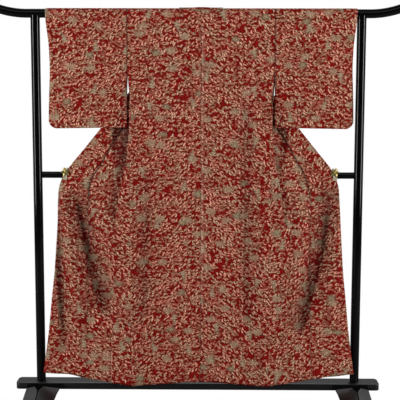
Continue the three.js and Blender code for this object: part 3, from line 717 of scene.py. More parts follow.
def overlap(side):
    """It is sewn to the front all the way down, and to the collar as far as the collar reaches."""
    name = f"overlap_{side}"
    free_top = COLLAR_END_DROP + 0.6
    sewn_rows = rows_between(OVERLAP_TOP, COLLAR_END_DROP - 8, ROW_STEP)
    drops = np.concatenate([sewn_rows, rows_between(free_top, HEM_DROP, ROW_STEP)])[:, None]
    free = drops >= free_top
    own = FRONT.at("seam_drop", drops)
    inner_x = FRONT.at("seam_x", drops) + SEAM / 2
    inner_y = FRONT.at("seam_y", drops)
    share_down = np.clip((drops - free_top) / (HEM_DROP - free_top), 0, 1)
    edge_drop = np.where(free, mix(free_top, EDGE_LAST, share_down), own)
    end_x = collar_seam_x(COLLAR_END_DROP)
    hem_x = mix(FRONT.at("seam_x", HEM_DROP), EDGE.at("x", EDGE_LAST), 0.6)
    below = ease((drops - COLLAR_END_DROP) / (HEM_DROP - COLLAR_END_DROP))
    middle_x = np.where(free, mix(end_x, hem_x, below), collar_seam_x(own) - SEAM / 2)
    edge_x, edge_y = EDGE.at("x", edge_drop), EDGE.at("y", edge_drop)

    first, second = clustered(1, 0.07, edge=(0.02, 0.05, 0.09)), np.linspace(0, 1, 9)[1:]
    middle_share = (middle_x - inner_x) / (edge_x - inner_x)
    x = np.concatenate([mix(inner_x, middle_x, first), mix(middle_x, edge_x, second)], axis=1)
    share = np.concatenate([first * middle_share, mix(middle_share, 1, second)], axis=1)
    sewn_share = np.concatenate([first + 0 * drops, 1 + 0 * (drops + second)], axis=1)
    y = mix(inner_y, edge_y, np.where(free, share, sewn_share))
    low = mix(own, edge_drop, share)
    wave = unevenness("overlap", side, x, low) * ease((x - inner_x) / 40)
    wave = wave * ease((edge_x - x) / 30 + 0.2) * (1 - 0.8 * near(low - 700, 60))
    depth = y + fold_depth(side, x, low) - wave - seam_line(x - inner_x)
    grid = place(side, x, depth, low - hem_lift(side, x, low), 1)
    keep = whole(grid)
    keep[: int(np.argmax(free[:, 0])), len(first) - 1 :] = False
    # painted shade along the collar's seam and the seam to the front, in the recess and in the troughs
    collar_seam_shade = COLLAR_SEAM_SHADE[0] * near(x - middle_x, COLLAR_SEAM_SHADE[1]) * (1 - free)
    seam = okumi_shade(x - inner_x, drops) + collar_seam_shade + fold_shade(side, x, low) + recess(side, x, low)
    uv = printed(name, x - inner_x, SHOULDER_ARC + low - BAR_DROP)
    piece = shell(f"cloth_{name}", grid, uv, -SIGN[side], seam, keep=keep)
    return piece


# ---- Collar ------------------------------------------------------------------------------------

COLLAR_ACROSS = 16


def smooth_through(values, fine):
    """Values at fine keys on a curve through the given ones that doesn't overshoot them."""
    return Table(("value",), list(enumerate(values))).at("value", fine)


def collar_half(side):
    t = np.linspace(0, 1, COLLAR_ACROSS + 1)
    fine = np.linspace(0, len(NAPE) - 1, 8 * (len(NAPE) - 1) + 1)
    seam, edge = ([smooth_through([row[part][k] for row in NAPE], fine) for k in range(3)] for part in (0, 1))
    rows = []
    for seam_spot, edge_spot in zip(zip(*seam), zip(*edge)):
        x, degrees, radius = (mix(a, b, t) for a, b in zip(seam_spot, edge_spot))
        hump = COLLAR_HUMP * near(seam_spot[0], 42)
        rows.append(over_bar(side, x, degrees, radius + hump * np.sin(math.pi * t)))
    for drop in rows_between(204, COLLAR_END_DROP, 10):
        straight = ease((drop - COLLAR_STRAIGHTENS) / (COLLAR_END_DROP - COLLAR_STRAIGHTENS))
        slant = COLLAR_SLANT_DROP * (1 - straight)
        x = mix(collar_seam_x(drop + slant) + SEAM / 2, EDGE.at("x", drop), t)
        low = drop + slant * (1 - t)
        y = mix(EDGE.at("y", drop + slant), EDGE.at("y", drop), t) + fold_depth(side, x, low)
        rows.append(place(side, x, y, low, 1))
    return np.array(rows)


def collar():
    grid = np.concatenate([collar_half("left")[::-1], collar_half("right")[1:]])
    middle = grid[:, COLLAR_ACROSS // 2]
    steps = np.linalg.norm(np.diff(middle, axis=0), axis=1)
    along = np.concatenate([[0], np.cumsum(steps)])[:, None]
    across = np.linspace(0, COLLAR_WIDTH, COLLAR_ACROSS + 1)
    # painted shade along the collar's seam
    seam = COLLAR_SEAM_SHADE[0] * near(across, COLLAR_SEAM_SHADE[1])
    uv = printed("collar", across, along)
    piece = shell("cloth_collar", grid, uv, 1, seam, thick=COLLAR_CLOTH, skins=("print", "print"))
    return piece


# ---- Sleeves -----------------------------------------------------------------------------------

LAYER_GAP = 1.2  # half the distance between the sleeve's layers where it is closed
CLOSED_DROP = SLEEVE_DROP - 20
WRIST_PINCH = 0.2  # the share of the width over which it closes below the wrist opening
CORNER_ANGLES = np.radians((10, 20, 31, 42, 53, 64, 74, 81))
SLEEVE_BOTTOM_DROPS = SLEEVE_DROP - SLEEVE_CORNER * (1 - np.sin(CORNER_ANGLES))


def sleeve_gap(drop, share):
    """Half the distance between the sleeve's layers, at a share of the way to the wrist."""
    at_body = mix(WRAP, LAYER_GAP, ease((drop - SLEEVE_JOIN_DROP) / (CLOSED_DROP - SLEEVE_JOIN_DROP)))
    at_wrist = mix(WRAP, LAYER_GAP, np.clip((drop - BAR_DROP) / (CLOSED_DROP - BAR_DROP), 0, 1))
    closing = ease((share - (1 - WRIST_PINCH)) / WRIST_PINCH) * ease((drop - WRIST_OPEN_DROP + 30) / 60)
    return mix(mix(at_body, at_wrist, share), LAYER_GAP, closing)


def wrist_x(drop):
    """The wrist's edge, down to its rounded lower corner."""
    below = np.clip(drop - (SLEEVE_DROP - SLEEVE_CORNER), 0, SLEEVE_CORNER)
    return WRIST.at("x", drop) - SLEEVE_CORNER + np.sqrt(SLEEVE_CORNER**2 - below**2)


def sleeve(side):
    name = f"sleeve_{side}"
    wrist_end = WRIST.columns["x"][0]
    width = wrist_end - SHOULDER
    across = clustered(width, 7)[:, None]
    share = across / width
    upper_drops = rows_between(BAR_DROP, SLEEVE_DROP - SLEEVE_CORNER, ROW_STEP)
    drops = np.concatenate([upper_drops, SLEEVE_BOTTOM_DROPS])
    angles = np.arange(-84, 85, 7)

    def spot(d, y):
        lean = SLEEVE_LEAN * ease((d - SLEEVE_JOIN_DROP) / 150) * (1 - share)
        sag = SLEEVE_SAG * share * ease((d - BAR_DROP) / (SLEEVE_DROP - BAR_DROP))
        return place(side, mix(SHOULDER + SEAM / 2, wrist_x(d), share) + lean, y, d + sag)

    def hung(d, layer, sign):
        calm = ease((d - 40) / 200) * ease((SLEEVE_DROP - d) / 60) * ease((1 - share) / 0.15 + 0.1)
        wave = unevenness(layer, side, across, d) * calm
        dip = seam_line(across) * (d < SLEEVE_JOIN_DROP) + seam_line(width - across, 0.5)
        return spot(d, sign * (sleeve_gap(d, share) + wave + dip))

    on_bar = mix(SHOULDER + SEAM / 2, wrist_end, share) + 0 * angles
    wrapped = over_bar(side, on_bar, angles, WRAP + BAR_DIP * seam_line(across))
    bottom = spot(np.array(SLEEVE_DROP - 0.4), 0.0)
    layers = [bottom, hung(drops[::-1], "sleeve_back", -1), wrapped, hung(drops, "sleeve_front", 1)]
    grid = np.concatenate(layers, axis=1)
    steps = np.linalg.norm(np.diff(grid[len(share) // 2], axis=0), axis=1)
    ring = np.concatenate([[0], np.cumsum(steps), [np.sum(steps) + 1]])
    down = np.concatenate([[SLEEVE_DROP], drops[::-1], 0 * angles, drops])
    seam = sleeve_seam_shade(across, down)
    piece = shell(f"cloth_{name}", grid, printed(name, across, ring), -SIGN[side], seam, loop=True)
    return piece


# ---- Materials ---------------------------------------------------------------------------------


class Nodes:
    """Short calls that add shader nodes to a material or a world and link them."""

    def __init__(self, owner):
        owner.use_nodes = True
        self.tree = owner.node_tree
        self.tree.nodes.clear()

    def add(self, kind, inputs=(), **settings):
        node = self.tree.nodes.new(kind)
        for key, value in settings.items():
            setattr(node, key, value)
        pairs = inputs.items() if isinstance(inputs, dict) else enumerate(inputs)
        for key, value in pairs:
            self.link(value, node.inputs[key])
        return node

    def link(self, value, socket):
        if isinstance(value, bpy.types.NodeSocket):
            self.tree.links.new(value, socket)
        elif value is not None:
            socket.default_value = value

    def math(self, operation, *values, clamp=False):
        return self.add("ShaderNodeMath", values, operation=operation, use_clamp=clamp).outputs[0]

    def times(self, first, *others):
        for other in others:
            first = self.math("MULTIPLY", first, other)
        return first

    def plus(self, a, b):
        return self.math("ADD", a, b)

    def minus(self, a, b):
        return self.math("SUBTRACT", a, b)

    def vector(self, operation, *values, scale=None):
        node = self.add("ShaderNodeVectorMath", values, operation=operation)
        if scale is not None:
            node.inputs["Scale"].default_value = scale
        return node.outputs[0]

    def blend(self, share, a, b):
        return self.add("ShaderNodeMix", {0: share, 6: a, 7: b}, data_type="RGBA").outputs[2]

    def ramp(self, value, low, high, to_low=0.0, to_high=1.0):
        inputs = {"Value": value, "From Min": low, "From Max": high, "To Min": to_low, "To Max": to_high}
        return self.add("ShaderNodeMapRange", inputs).outputs[0]

    def noise(self, vector, scale, detail=2.0, roughness=0.5, flat=False, output=0):
        """Noise at one scale, or at three for the three directions."""
        if isinstance(scale, tuple):
            vector, scale = self.vector("MULTIPLY", vector, scale), 1.0
        inputs = {"Vector": vector, "Scale": scale, "Detail": detail, "Roughness": roughness}
        node = self.add("ShaderNodeTexNoise", inputs, noise_dimensions="2D" if flat else "3D")
        return node.outputs[output]

    def bump(self, height, strength, distance=0.0006):
        inputs = {"Strength": strength, "Distance": distance, "Height": height}
        return self.add("ShaderNodeBump", inputs).outputs[0]


class Finish(Nodes):
    """A material with one Principled shader."""

    def __init__(self, name):
        self.material = bpy.data.materials.new(name)
        super().__init__(self.material)
        self.output = self.add("ShaderNodeOutputMaterial")
        self.shader = self.add("ShaderNodeBsdfPrincipled")
        self.link(self.shader.outputs[0], self.output.inputs[0])

    def set(self, **values):
        for key, value in values.items():
            self.link(value, self.shader.inputs[key.replace("_", " ")])
        return self.material


def colour(r, g, b):
    """A colour as seen on a screen, 0 to 255, as the shader's linear one."""
    return tuple(((c / 255 + 0.055) / 1.055) ** 2.4 if c > 10 else c / 255 / 12.92 for c in (r, g, b)) + (1,)


RED = colour(158, 14, 10)
DEEP_RED = colour(76, 6, 5)
SALMON, SALMON_EDGE = colour(248, 180, 152), colour(150, 50, 38)
BEIGE, BEIGE_EDGE = colour(222, 190, 156), colour(136, 84, 60)
GREY_BEIGE = colour(180, 160, 130)
GREY_GREEN = colour(136, 134, 110)
OCHRE = colour(190, 156, 84)
OUTLINE = colour(62, 8, 6)
# the colours of painted shade and of a painted highlight, laid over the cloth by its seam attribute
PAINTED_SHADE_COLOUR, PAINTED_HIGHLIGHT_COLOUR = colour(30, 8, 8), colour(244, 196, 172)


def cells_of(n, cut, cell, shift, randomness):
    """Scattered cells on the cloth: the place from each one's centre, in cells, and its chances."""
    moved = n.vector("ADD", n.vector("SCALE", cut, scale=1 / cell), (shift, shift * 1.7, 0))
    inputs = {"Vector": moved, "Scale": 1.0, "Randomness": randomness}
    cells = n.add("ShaderNodeTexVoronoi", inputs, voronoi_dimensions="2D")
    chance = n.add("ShaderNodeSeparateColor", [cells.outputs["Color"]]).outputs
    return n.vector("SUBTRACT", moved, cells.outputs["Position"]), chance


def turned(n, from_centre, angle):
    """The two coordinates of a place after a turn."""
    inputs = {"Vector": from_centre, "Angle": angle}
    rotated = n.add("ShaderNodeVectorRotate", inputs, rotation_type="Z_AXIS").outputs[0]
    axes = n.add("ShaderNodeSeparateXYZ", [rotated]).outputs
    return axes[0], axes[1]


def buds(n, cut, cell, long, wide, shift, spread):
    """A layer of small buds, one to a cell: masks for bud, pale core and dark rim, and its chances."""
    from_centre, chance = cells_of(n, cut, cell, shift, 0.85)
    x, y = turned(n, from_centre, n.times(n.minus(chance[0], 0.5), spread))
    bow = n.times(x, x, n.times(n.minus(chance[1], 0.5), 2.6))
    y = n.math("ABSOLUTE", n.plus(y, bow))
    along = n.math("DIVIDE", x, long)
    fullness = n.minus(1.0, n.times(along, along))
    depth = n.minus(n.times(fullness, wide), y)
    bud = n.ramp(depth, -0.02, 0.03)
    core = n.ramp(depth, 0.03, 0.13)
    rim = n.times(n.ramp(depth, -0.1, -0.03), n.ramp(depth, 0.0, 0.05, 1.0, 0.0))
    return bud, core, rim, chance


def sprigs(n, cut, cell, tall, shift, least):
    """A layer of small tapering sprigs, some upside down: masks for the sprig, its rim and its veins."""
    from_centre, chance = cells_of(n, cut, cell, shift, 0.6)
    angle = n.times(n.math("GREATER_THAN", chance[0], 0.5), math.pi)
    lean = n.times(n.minus(chance[1], 0.5), 0.7)
    x, y = turned(n, from_centre, n.plus(angle, lean))
    up = n.ramp(y, -tall, tall)
    notch = n.times(n.math("COSINE", n.times(up, 26.0)), 0.02)
    half = n.plus(n.times(n.minus(1.0, up), tall * 0.55), notch)
    depth = n.minus(half, n.math("ABSOLUTE", x))
    inside = n.math("LESS_THAN", n.math("ABSOLUTE", y), tall)
    here = n.times(n.math("GREATER_THAN", chance[2], least), inside)
    sprig = n.times(n.ramp(depth, 0.0, 0.02), here)
    rim = n.times(sprig, n.ramp(depth, 0.02, 0.06, 1.0, 0.0))
    veins = n.times(sprig, n.ramp(n.math("COSINE", n.times(up, 38.0)), 0.5, 0.9))
    return sprig, rim, veins


def flowers(n, cut, cell, radius, petals, shift, least):
    """A layer of small wide flowers, where a cell's chance is over `least`: petals, rim and clefts."""
    from_centre, chance = cells_of(n, cut, cell, shift, 0.7)
    x, y = turned(n, n.vector("MULTIPLY", from_centre, (0.66, 1, 1)), n.times(chance[1], 0.6))
    lobe = n.math("ABSOLUTE", n.math("COSINE", n.times(n.math("ARCTAN2", y, x), petals / 2)))
    reach = n.times(n.plus(n.times(lobe, 0.5), 0.5), radius)
    distance = n.math("SQRT", n.plus(n.times(x, x), n.times(y, y)))
    depth = n.minus(reach, distance)
    here = n.math("GREATER_THAN", chance[2], least)
    flower = n.times(n.ramp(depth, 0.0, 0.02), here)
    rim = n.times(flower, n.ramp(depth, 0.02, 0.05, 1.0, 0.0))
    clefts = n.times(flower, n.ramp(lobe, 0.25, 0.5, 1.0, 0.0))
    return flower, rim, clefts


def crepe_bump(n, cut):
    """Crepe's fine crimped grain, as a bump."""
    grain = n.noise(cut, (620, 260, 0), 3.0, 0.6, flat=True)
    coarse = n.noise(cut, (150, 60, 0), flat=True)
    return n.bump(n.plus(n.times(grain, 0.6), n.times(coarse, 0.4)), 0.5)


def komon(n, cut):
    """The small all-over print: buds in drifts on deep red, with sprigs and flowers among them."""
    wobble = n.noise(cut, 55, 2.0, 0.6, flat=True, output="Color")
    shifted = n.vector("SCALE", n.vector("SUBTRACT", wobble, (0.5, 0.5, 0.5)), scale=0.006)
    cut = n.vector("ADD", cut, shifted)
    drift = n.ramp(n.noise(cut, (8, 15, 0), 5.0, 0.72, flat=True), 0.38, 0.6)
    tone = n.ramp(n.noise(cut, (12, 20, 0), flat=True), 0.42, 0.58)
    mottle = n.ramp(n.noise(cut, 170, flat=True), 0.35, 0.65)
    look = n.blend(mottle, DEEP_RED, RED)
    layers = (
        # cell, half length, half width (in cells), shift, spread of directions
        (0.0200, 0.60, 0.24, 3.3, 2.4),
        (0.0162, 0.58, 0.24, 17.1, 2.8),
        (0.0182, 0.60, 0.22, 29.4, 2.4),
    )
    for layer in layers:
        bud, core, rim, chance = buds(n, cut, *layer)
        kept = n.math("LESS_THAN", chance[2], n.ramp(drift, 0.0, 1.0, 0.52, 1.0))
        pick = n.plus(n.times(chance[1], 0.5), n.times(tone, 0.5))
        edge, middle = n.blend(pick, SALMON_EDGE, BEIGE_EDGE), n.blend(pick, SALMON, BEIGE)
        pale = n.times(core, n.ramp(chance[0], 0.0, 1.0, 0.05, 1.0))
        look = n.blend(n.times(rim, kept, 0.85), look, OUTLINE)
        look = n.blend(n.times(bud, kept), look, n.blend(pale, edge, middle))
    motifs = (
        (flowers(n, cut, 0.105, 0.17, 9, 5.2, 0.45), 0.55, GREY_BEIGE, OUTLINE),
        (sprigs(n, cut, 0.15, 0.19, 7.9, 0.3), 0.8, GREY_BEIGE, OUTLINE),
        (flowers(n, cut, 0.19, 0.085, 6, 9.6, 0.3), 0.7, GREY_GREEN, OCHRE),
    )
    for (shape, rim, marks), share, paint, mark in motifs:
        look = n.blend(n.times(shape, share), look, paint)
        look = n.blend(n.times(rim, 0.45), look, OUTLINE)
        look = n.blend(n.times(marks, 0.5), look, mark)
    return look


def in_seam_shade(n, look, strength):
    """The colour with painted shade over it where the seam attribute is above 0, at seams, tight turns,
    troughs and recesses, and a painted highlight where it is below 0.
    """
    seam = n.add("ShaderNodeAttribute", attribute_name="seam").outputs["Fac"]
    look = n.blend(n.math("MULTIPLY", seam, -strength, clamp=True), look, PAINTED_HIGHLIGHT_COLOUR)
    return n.blend(n.math("MULTIPLY", seam, strength, clamp=True), look, PAINTED_SHADE_COLOUR)


def print_material():
    n = Finish("komon_crepe")
    cut = n.add("ShaderNodeUVMap", uv_map="cut").outputs[0]
    look = in_seam_shade(n, komon(n, cut), 0.85)
    return n.set(Base_Color=look, Roughness=0.75, Specular_IOR_Level=0.1, Normal=crepe_bump(n, cut))


def reverse_material():
    """The back of the printed crepe: the same print, showing through dull and pale."""
    n = Finish("komon_crepe_reverse")
    cut = n.add("ShaderNodeUVMap", uv_map="cut").outputs[0]
    pale = n.blend(0.5, komon(n, cut), colour(176, 104, 92))
    look = in_seam_shade(n, pale, 0.25)
    return n.set(Base_Color=look, Roughness=0.8, Specular_IOR_Level=0.1, Normal=crepe_bump(n, cut))


def lacquer_material(name, rough, shine):
    n = Finish(name)
    spot = n.add("ShaderNodeTexCoord").outputs["Object"]
    haze = n.noise(spot, 9, 3.0, 0.6)
    grain = n.noise(spot, (60, 60, 4), 3.0, 0.6)
    dust = n.times(n.ramp(n.noise(spot, 420, 1.0), 0.74, 0.82), 0.2)
    black = n.blend(n.ramp(haze, 0.35, 0.7), colour(4, 4, 5), colour(8, 7, 7))
    black = n.blend(dust, black, colour(70, 68, 64))
    roughness = n.ramp(haze, 0.3, 0.7, rough, rough * 1.3)
    bump = n.bump(grain, 0.03, 0.0008)
    return n.set(Base_Color=black, Roughness=roughness, Specular_IOR_Level=shine, Normal=bump)


def painted_shade_material():
    """Lacquer painted near black and dull as painted shade, down in a foot's groove and where the beam shades
    its top.
    """
    n = Finish("painted_shade_lacquer")
    spot = n.add("ShaderNodeTexCoord").outputs["Object"]
    black = n.blend(n.noise(spot, 60), colour(3, 3, 3), colour(9, 8, 8))
    return n.set(Base_Color=black, Roughness=0.8, Specular_IOR_Level=0.02)


def gilt_material(name, bright, dark, roughness):
    n = Finish(name)
    spot = n.add("ShaderNodeTexCoord").outputs["Object"]
    patina = n.noise(spot, 160, 4.0, 0.65)
    look = n.blend(n.ramp(patina, 0.35, 0.65), dark, bright)
    worn = n.ramp(patina, 0.3, 0.7, roughness + 0.15, roughness)
    bump = n.bump(n.noise(spot, 700, 3.0, 0.6), 0.35)
    return n.set(Base_Color=look, Metallic=0.85, Roughness=worn, Normal=bump)


def floor_material():
    """Plain white to the camera, and a duller white to the light that falls on it."""
    n = Finish("pale_floor")
    white = n.add("ShaderNodeEmission", {"Color": (1, 1, 1, 1), "Strength": 1.0}).outputs[0]
    seen = n.add("ShaderNodeLightPath").outputs["Is Camera Ray"]
    shown = n.add("ShaderNodeMixShader", [seen, n.shader.outputs[0], white]).outputs[0]
    n.link(shown, n.output.inputs[0])
    return n.set(Base_Color=(0.22, 0.22, 0.22, 1), Roughness=0.9)


MATERIALS = {
    "print": print_material(),
    "reverse": reverse_material(),
    "lacquer": lacquer_material("black_lacquer", 0.09, 0.2),
    "satin": lacquer_material("satin_lacquer", 0.34, 0.5),
    "painted_shade": painted_shade_material(),
    "gilt": gilt_material("aged_gilt", colour(176, 158, 96), colour(92, 78, 36), 0.34),
    "champagne": gilt_material("pale_gilt", colour(236, 230, 206), colour(196, 186, 154), 0.42),
    "floor": floor_material(),
}

# ---- Stand -------------------------------------------------------------------------------------


def solid(name, points, faces, key, sharp=35):
    """A mesh piece from points in millimetres; points that fall together become one."""
    mesh = bpy.data.meshes.new(name)
    mesh.from_pydata([[c * MM for c in p] for p in points], [], faces)
    clean = bmesh.new()
    clean.from_mesh(mesh)
    bmesh.ops.remove_doubles(clean, verts=clean.verts, dist=0.02 * MM)
    bmesh.ops.dissolve_degenerate(clean, edges=clean.edges, dist=0.02 * MM)
    clean.to_mesh(mesh)
    clean.free()
    mesh.shade_smooth()
    mesh.set_sharp_from_angle(angle=math.radians(sharp))
    mesh.materials.append(MATERIALS[key])
    return linked(name, mesh)


def loft(name, rings, key, sharp=35):
    """Rings of points joined into a closed tube."""
    sides = len(rings[0])
    points = [p for ring in rings for p in ring]
    faces = []
    for r in range(len(rings) - 1):
        for k in range(sides):
            a, b = r * sides + k, r * sides + (k + 1) % sides
            faces.append((a, b, b + sides, a + sides))
    last = (len(rings) - 1) * sides
    faces.append(tuple(range(sides - 1, -1, -1)))
    faces.append(tuple(last + k for k in range(sides)))
    a, b, c = (Vector(points[k]) for k in faces[0][:3])
    outward = (b - a).cross(c - a).dot(a - Vector(np.mean(rings[0], axis=0)))
    return solid(name, points, faces if outward > 0 else [face[::-1] for face in faces], key, sharp)


ROUND_SIDES = 64


def circle(radius, sides=ROUND_SIDES):
    turns = [math.tau * k / sides for k in range(sides)]
    return [(radius * math.cos(turn), radius * math.sin(turn)) for turn in turns]


BAR_STRAIGHT_TO = 720
BAR_HALF_LENGTH = 880
BAR_END_RISE = 34
# The rounded tips: how far beyond the end, and the share of the radius there.
BAR_TIP = ((4, 0.985), (7, 0.95), (10, 0.88), (12.5, 0.77), (14.5, 0.62), (15.7, 0.42), (16.2, 0.2))


def bar_sweep(x):
    """How high the bar's axis has risen at a distance from its middle, and how steep it is there."""
    length = BAR_HALF_LENGTH - BAR_STRAIGHT_TO
    past = max(0, x - BAR_STRAIGHT_TO)
    return BAR_END_RISE * (past / length) ** 2, 2 * BAR_END_RISE * past / length**2


def top_bar():
    ends = np.linspace(BAR_STRAIGHT_TO, BAR_HALF_LENGTH, 17)
    half = [(x, 1) for x in (0, *ends)] + [(BAR_HALF_LENGTH + beyond, share) for beyond, share in BAR_TIP]
    rings = []
    for x, share in [(-x, share) for x, share in half[::-1]] + half[1:]:
        rise, steep = bar_sweep(abs(x))
        slope = math.copysign(math.atan(steep), x)
        section = circle(BAR_RADIUS * share)
        height = BAR_HEIGHT + rise
        rings.append([(x - up * math.sin(slope), y, height + up * math.cos(slope)) for y, up in section])
    return loft("lacquer_top_bar", rings, "lacquer")


POST_COPE = 8  # how far below the bar's axis the coped top of a post ends
COPE_SHARES = (1, 0.85, 0.7, 0.5, 0.3, 0.1)  # of the post's radius, for the rings over its coped top


def post(side, sign):
    """A turned post, its top coped to the bar's underside."""
    low, high = BEAM_TOP + 0.4, BAR_HEIGHT - 30

    def ring(radius, height):
        return [(sign * POST_X + x, y, height(y)) for x, y in circle(radius)]

    def cope(y):
        return BAR_HEIGHT - math.sqrt(max(POST_COPE**2, (BAR_RADIUS + 0.3) ** 2 - y * y))

    rings = [ring(POST_RADIUS * 0.97, lambda y: low)]
    rings += [ring(POST_RADIUS, lambda y, z=z: z) for z in (low + 1.5, *np.linspace(low + 6, high, 12))]
    rings += [ring(POST_RADIUS * share, cope) for share in COPE_SHARES]
    return loft(f"lacquer_post_{side}", rings, "lacquer")


def rail():
    reach = POST_X - POST_RADIUS + 0.5
    section = circle(RAIL_RADIUS, 48)
    rings = [[(x, y, RAIL_HEIGHT + z) for y, z in section] for x in np.linspace(-reach, reach, 9)]
    return loft("lacquer_rail", rings, "lacquer")


def rounded_plan(half_x, half_y, corner, steps=8):
    plan = []
    for sx, sy, start in ((1, -1, -90), (1, 1, 0), (-1, 1, 90), (-1, -1, 180)):
        for degrees in np.linspace(start, start + 90, steps + 1):
            a = math.radians(degrees)
            x, y = sx * (half_x - corner), sy * (half_y - corner)
            plan.append((x + corner * math.cos(a), y + corner * math.sin(a)))
    return plan


BEAM_CORNER = 16
BEAM_BEVEL = ((0, 2), (0.6, 0.6), (2, 0))  # up from an edge, in from the sides


def beam():
    half_x, half_y = span("beam", 0)[1], span("beam", 1)[1]
    levels = [(BEAM_BOTTOM + up, inset) for up, inset in BEAM_BEVEL]
    levels += [(BEAM_TOP - up, inset) for up, inset in BEAM_BEVEL[::-1]]
    rings = []
    for z, inset in levels:
        plan = rounded_plan(half_x - inset, half_y - inset, BEAM_CORNER - inset)
        rings.append([(x, y, z) for x, y in plan])
    return loft("lacquer_beam", rings, "satin")


FOOT = Table(
    ("outer", "inner", "outer_low", "inner_low", "ridge", "shoulder", "under"),
    [
        (0, 737, 583, 725, 640, 92, 92, 30),
        (46, 737, 586, 725, 640, 92, 92, 28),
        (66, 739, 594, 727, 640, 88, 77, 24),
        (100, 741, 602, 733, 640, 75, 64, 12),
        (130, 742, 606, 738, 636, 63, 53, 0),
        (165, 743, 611, 741, 634, 49, 40, 0),
        (200, 743, 618, 743, 632, 34, 26, 0),
    ],
)
FOOT_END = 200
BEAM_SHADE_TO = 62  # from its middle, as far as a foot's top lies in the beam's shade, which is painted there
NOTCH = 42.5  # half the notch for the beam, along the foot
# The groove cut along a foot's ridge, at distances from the foot's middle.
GROOVE = Table(("half", "depth"), [(46, 19, 2), (64, 18, 13), (96, 2.5, 5), (200, 2, 2.5)])


def foot_ring(sign, y, cut_to=None):
    """The foot's section at a distance y from its middle; `cut_to` is the height of the notch."""
    row = {name: float(FOOT.at(name, abs(y))) for name in FOOT.columns}
    half, depth = (float(GROOVE.at(name, abs(y))) for name in ("half", "depth"))

    def on_top(x, lower=0):
        side = row["outer"] if x > POST_X else row["inner"]
        return x, mix(row["ridge"], row["shoulder"], (x - POST_X) / (side - POST_X)) - lower

    top = [(row["inner"], row["shoulder"]), on_top(row["inner"] + 3), on_top(POST_X - half - 1.5)]
    top += [on_top(POST_X - half), on_top(POST_X, depth), on_top(POST_X + half), on_top(POST_X + half + 1.5)]
    top += [on_top(row["outer"] - 3), (row["outer"], row["shoulder"])]
    if cut_to is not None:
        share = (cut_to - row["under"]) / (row["shoulder"] - row["under"])
        low, high = mix(row["inner_low"], row["inner"], share), mix(row["outer_low"], row["outer"], share)
        top = [(min(max(x, low), high), cut_to) for x, _ in top]
    ring = [(row["outer_low"], row["under"]), (row["inner_low"], row["under"]), *top]
    return [(sign * x, y, z) for x, z in ring]


def foot(side, sign):
    outward = [NOTCH, 46, 52, 58, 64, 66, 72, 80, 90, 100, 115, 130, 147, 165, 182, FOOT_END - 2]
    floor_of_notch = BEAM_BOTTOM - 0.4
    back = [foot_ring(sign, y) for y in outward[::-1]]
    middle = [foot_ring(sign, y, floor_of_notch) for y in (NOTCH, 20, 0, -20, -NOTCH)]
    front = [foot_ring(sign, -y) for y in outward]
    ends = []
    for y in (FOOT_END, -FOOT_END):
        ring = foot_ring(sign, y)
        ends.append([(mix(x, sign * POST_X, 0.02), y, max(0.0, z - 1)) for x, y, z in ring])
    piece = loft(f"lacquer_foot_{side}", [ends[0], *back, *middle, *front, ends[1]], "satin", sharp=14)
    # painted shade: faces down in the groove, and top faces in the beam's shade, take the dull black lacquer
    piece.data.materials.append(MATERIALS["painted_shade"])
    for face in piece.data.polygons:
        from_ridge, from_middle = abs(abs(face.center.x / MM) - POST_X), abs(face.center.y / MM)
        deep = from_ridge < float(GROOVE.at("half", from_middle)) + 0.5
        if face.normal.z > 0.2 and from_middle > NOTCH and (deep or from_middle < BEAM_SHADE_TO):
            face.material_index = 1
    return piece


CLIP_WIDTH, CLIP_THICK = 19, 2.6
CLIP_FRONT, CLIP_BACK = -20.5, 16.3  # the strap's middle, in front of the rail's axis and behind it
CLIP_TOP, CLIP_FRONT_JAW, CLIP_BACK_JAW = 28.3, -20, -15  # from the rail's axis
CLIP_X = {"left": 578, "right": 572}
CLIP_BEND = 5
CLIP_TAPER = 2  # its ends are narrower by this on each side
CLIP_BEVEL = 0.7


def cut_cornered(half_width, half_thick, bevel):
    """A rectangle with its corners cut off."""
    right = [
        (half_width - bevel, -half_thick),
        (half_width, bevel - half_thick),
        (half_width, half_thick - bevel),
        (half_width - bevel, half_thick),
    ]
    return right + [(-x, -t) for x, t in right]


def clip(side, sign):
    """A spring clip's strap: down in front of the collar, over the rail and down behind it."""
    bend_z = CLIP_TOP - CLIP_BEND
    path = [(CLIP_FRONT, CLIP_FRONT_JAW, 0), (CLIP_FRONT, bend_z, 0)]
    for bend_y, start in ((CLIP_FRONT + CLIP_BEND, 180), (CLIP_BACK - CLIP_BEND, 90)):
        for degrees in range(start, start - 91, -15):
            a = math.radians(degrees)
            y, z = bend_y + CLIP_BEND * math.cos(a), bend_z + CLIP_BEND * math.sin(a)
            path.append((y, z, 180 - degrees))
    path.append((CLIP_BACK, CLIP_BACK_JAW, 180))
    rings = []
    centre_x = KIMONO_X + sign * CLIP_X[side]
    for number, (y, z, turn) in enumerate(path):
        out = (-math.cos(math.radians(turn)), math.sin(math.radians(turn)))
        narrow = CLIP_TAPER if number in (0, len(path) - 1) else 0
        section = cut_cornered(CLIP_WIDTH / 2 - narrow, CLIP_THICK / 2, CLIP_BEVEL)
        rings.append([(centre_x + x, y + t * out[0], RAIL_HEIGHT + z + t * out[1]) for x, t in section])
    return loft(f"clip_strap_{side}", rings, "champagne", sharp=40)


LEAF_RADIUS, LEAF_WAIST, LEAF_TILT, LEAF_LIFT = 22, 10.5, 14, 13
LEAF_RINGS, LEAF_SPOKES = (0.12, 0.26, 0.42, 0.58, 0.74, 0.88, 0.97, 1.0), 100


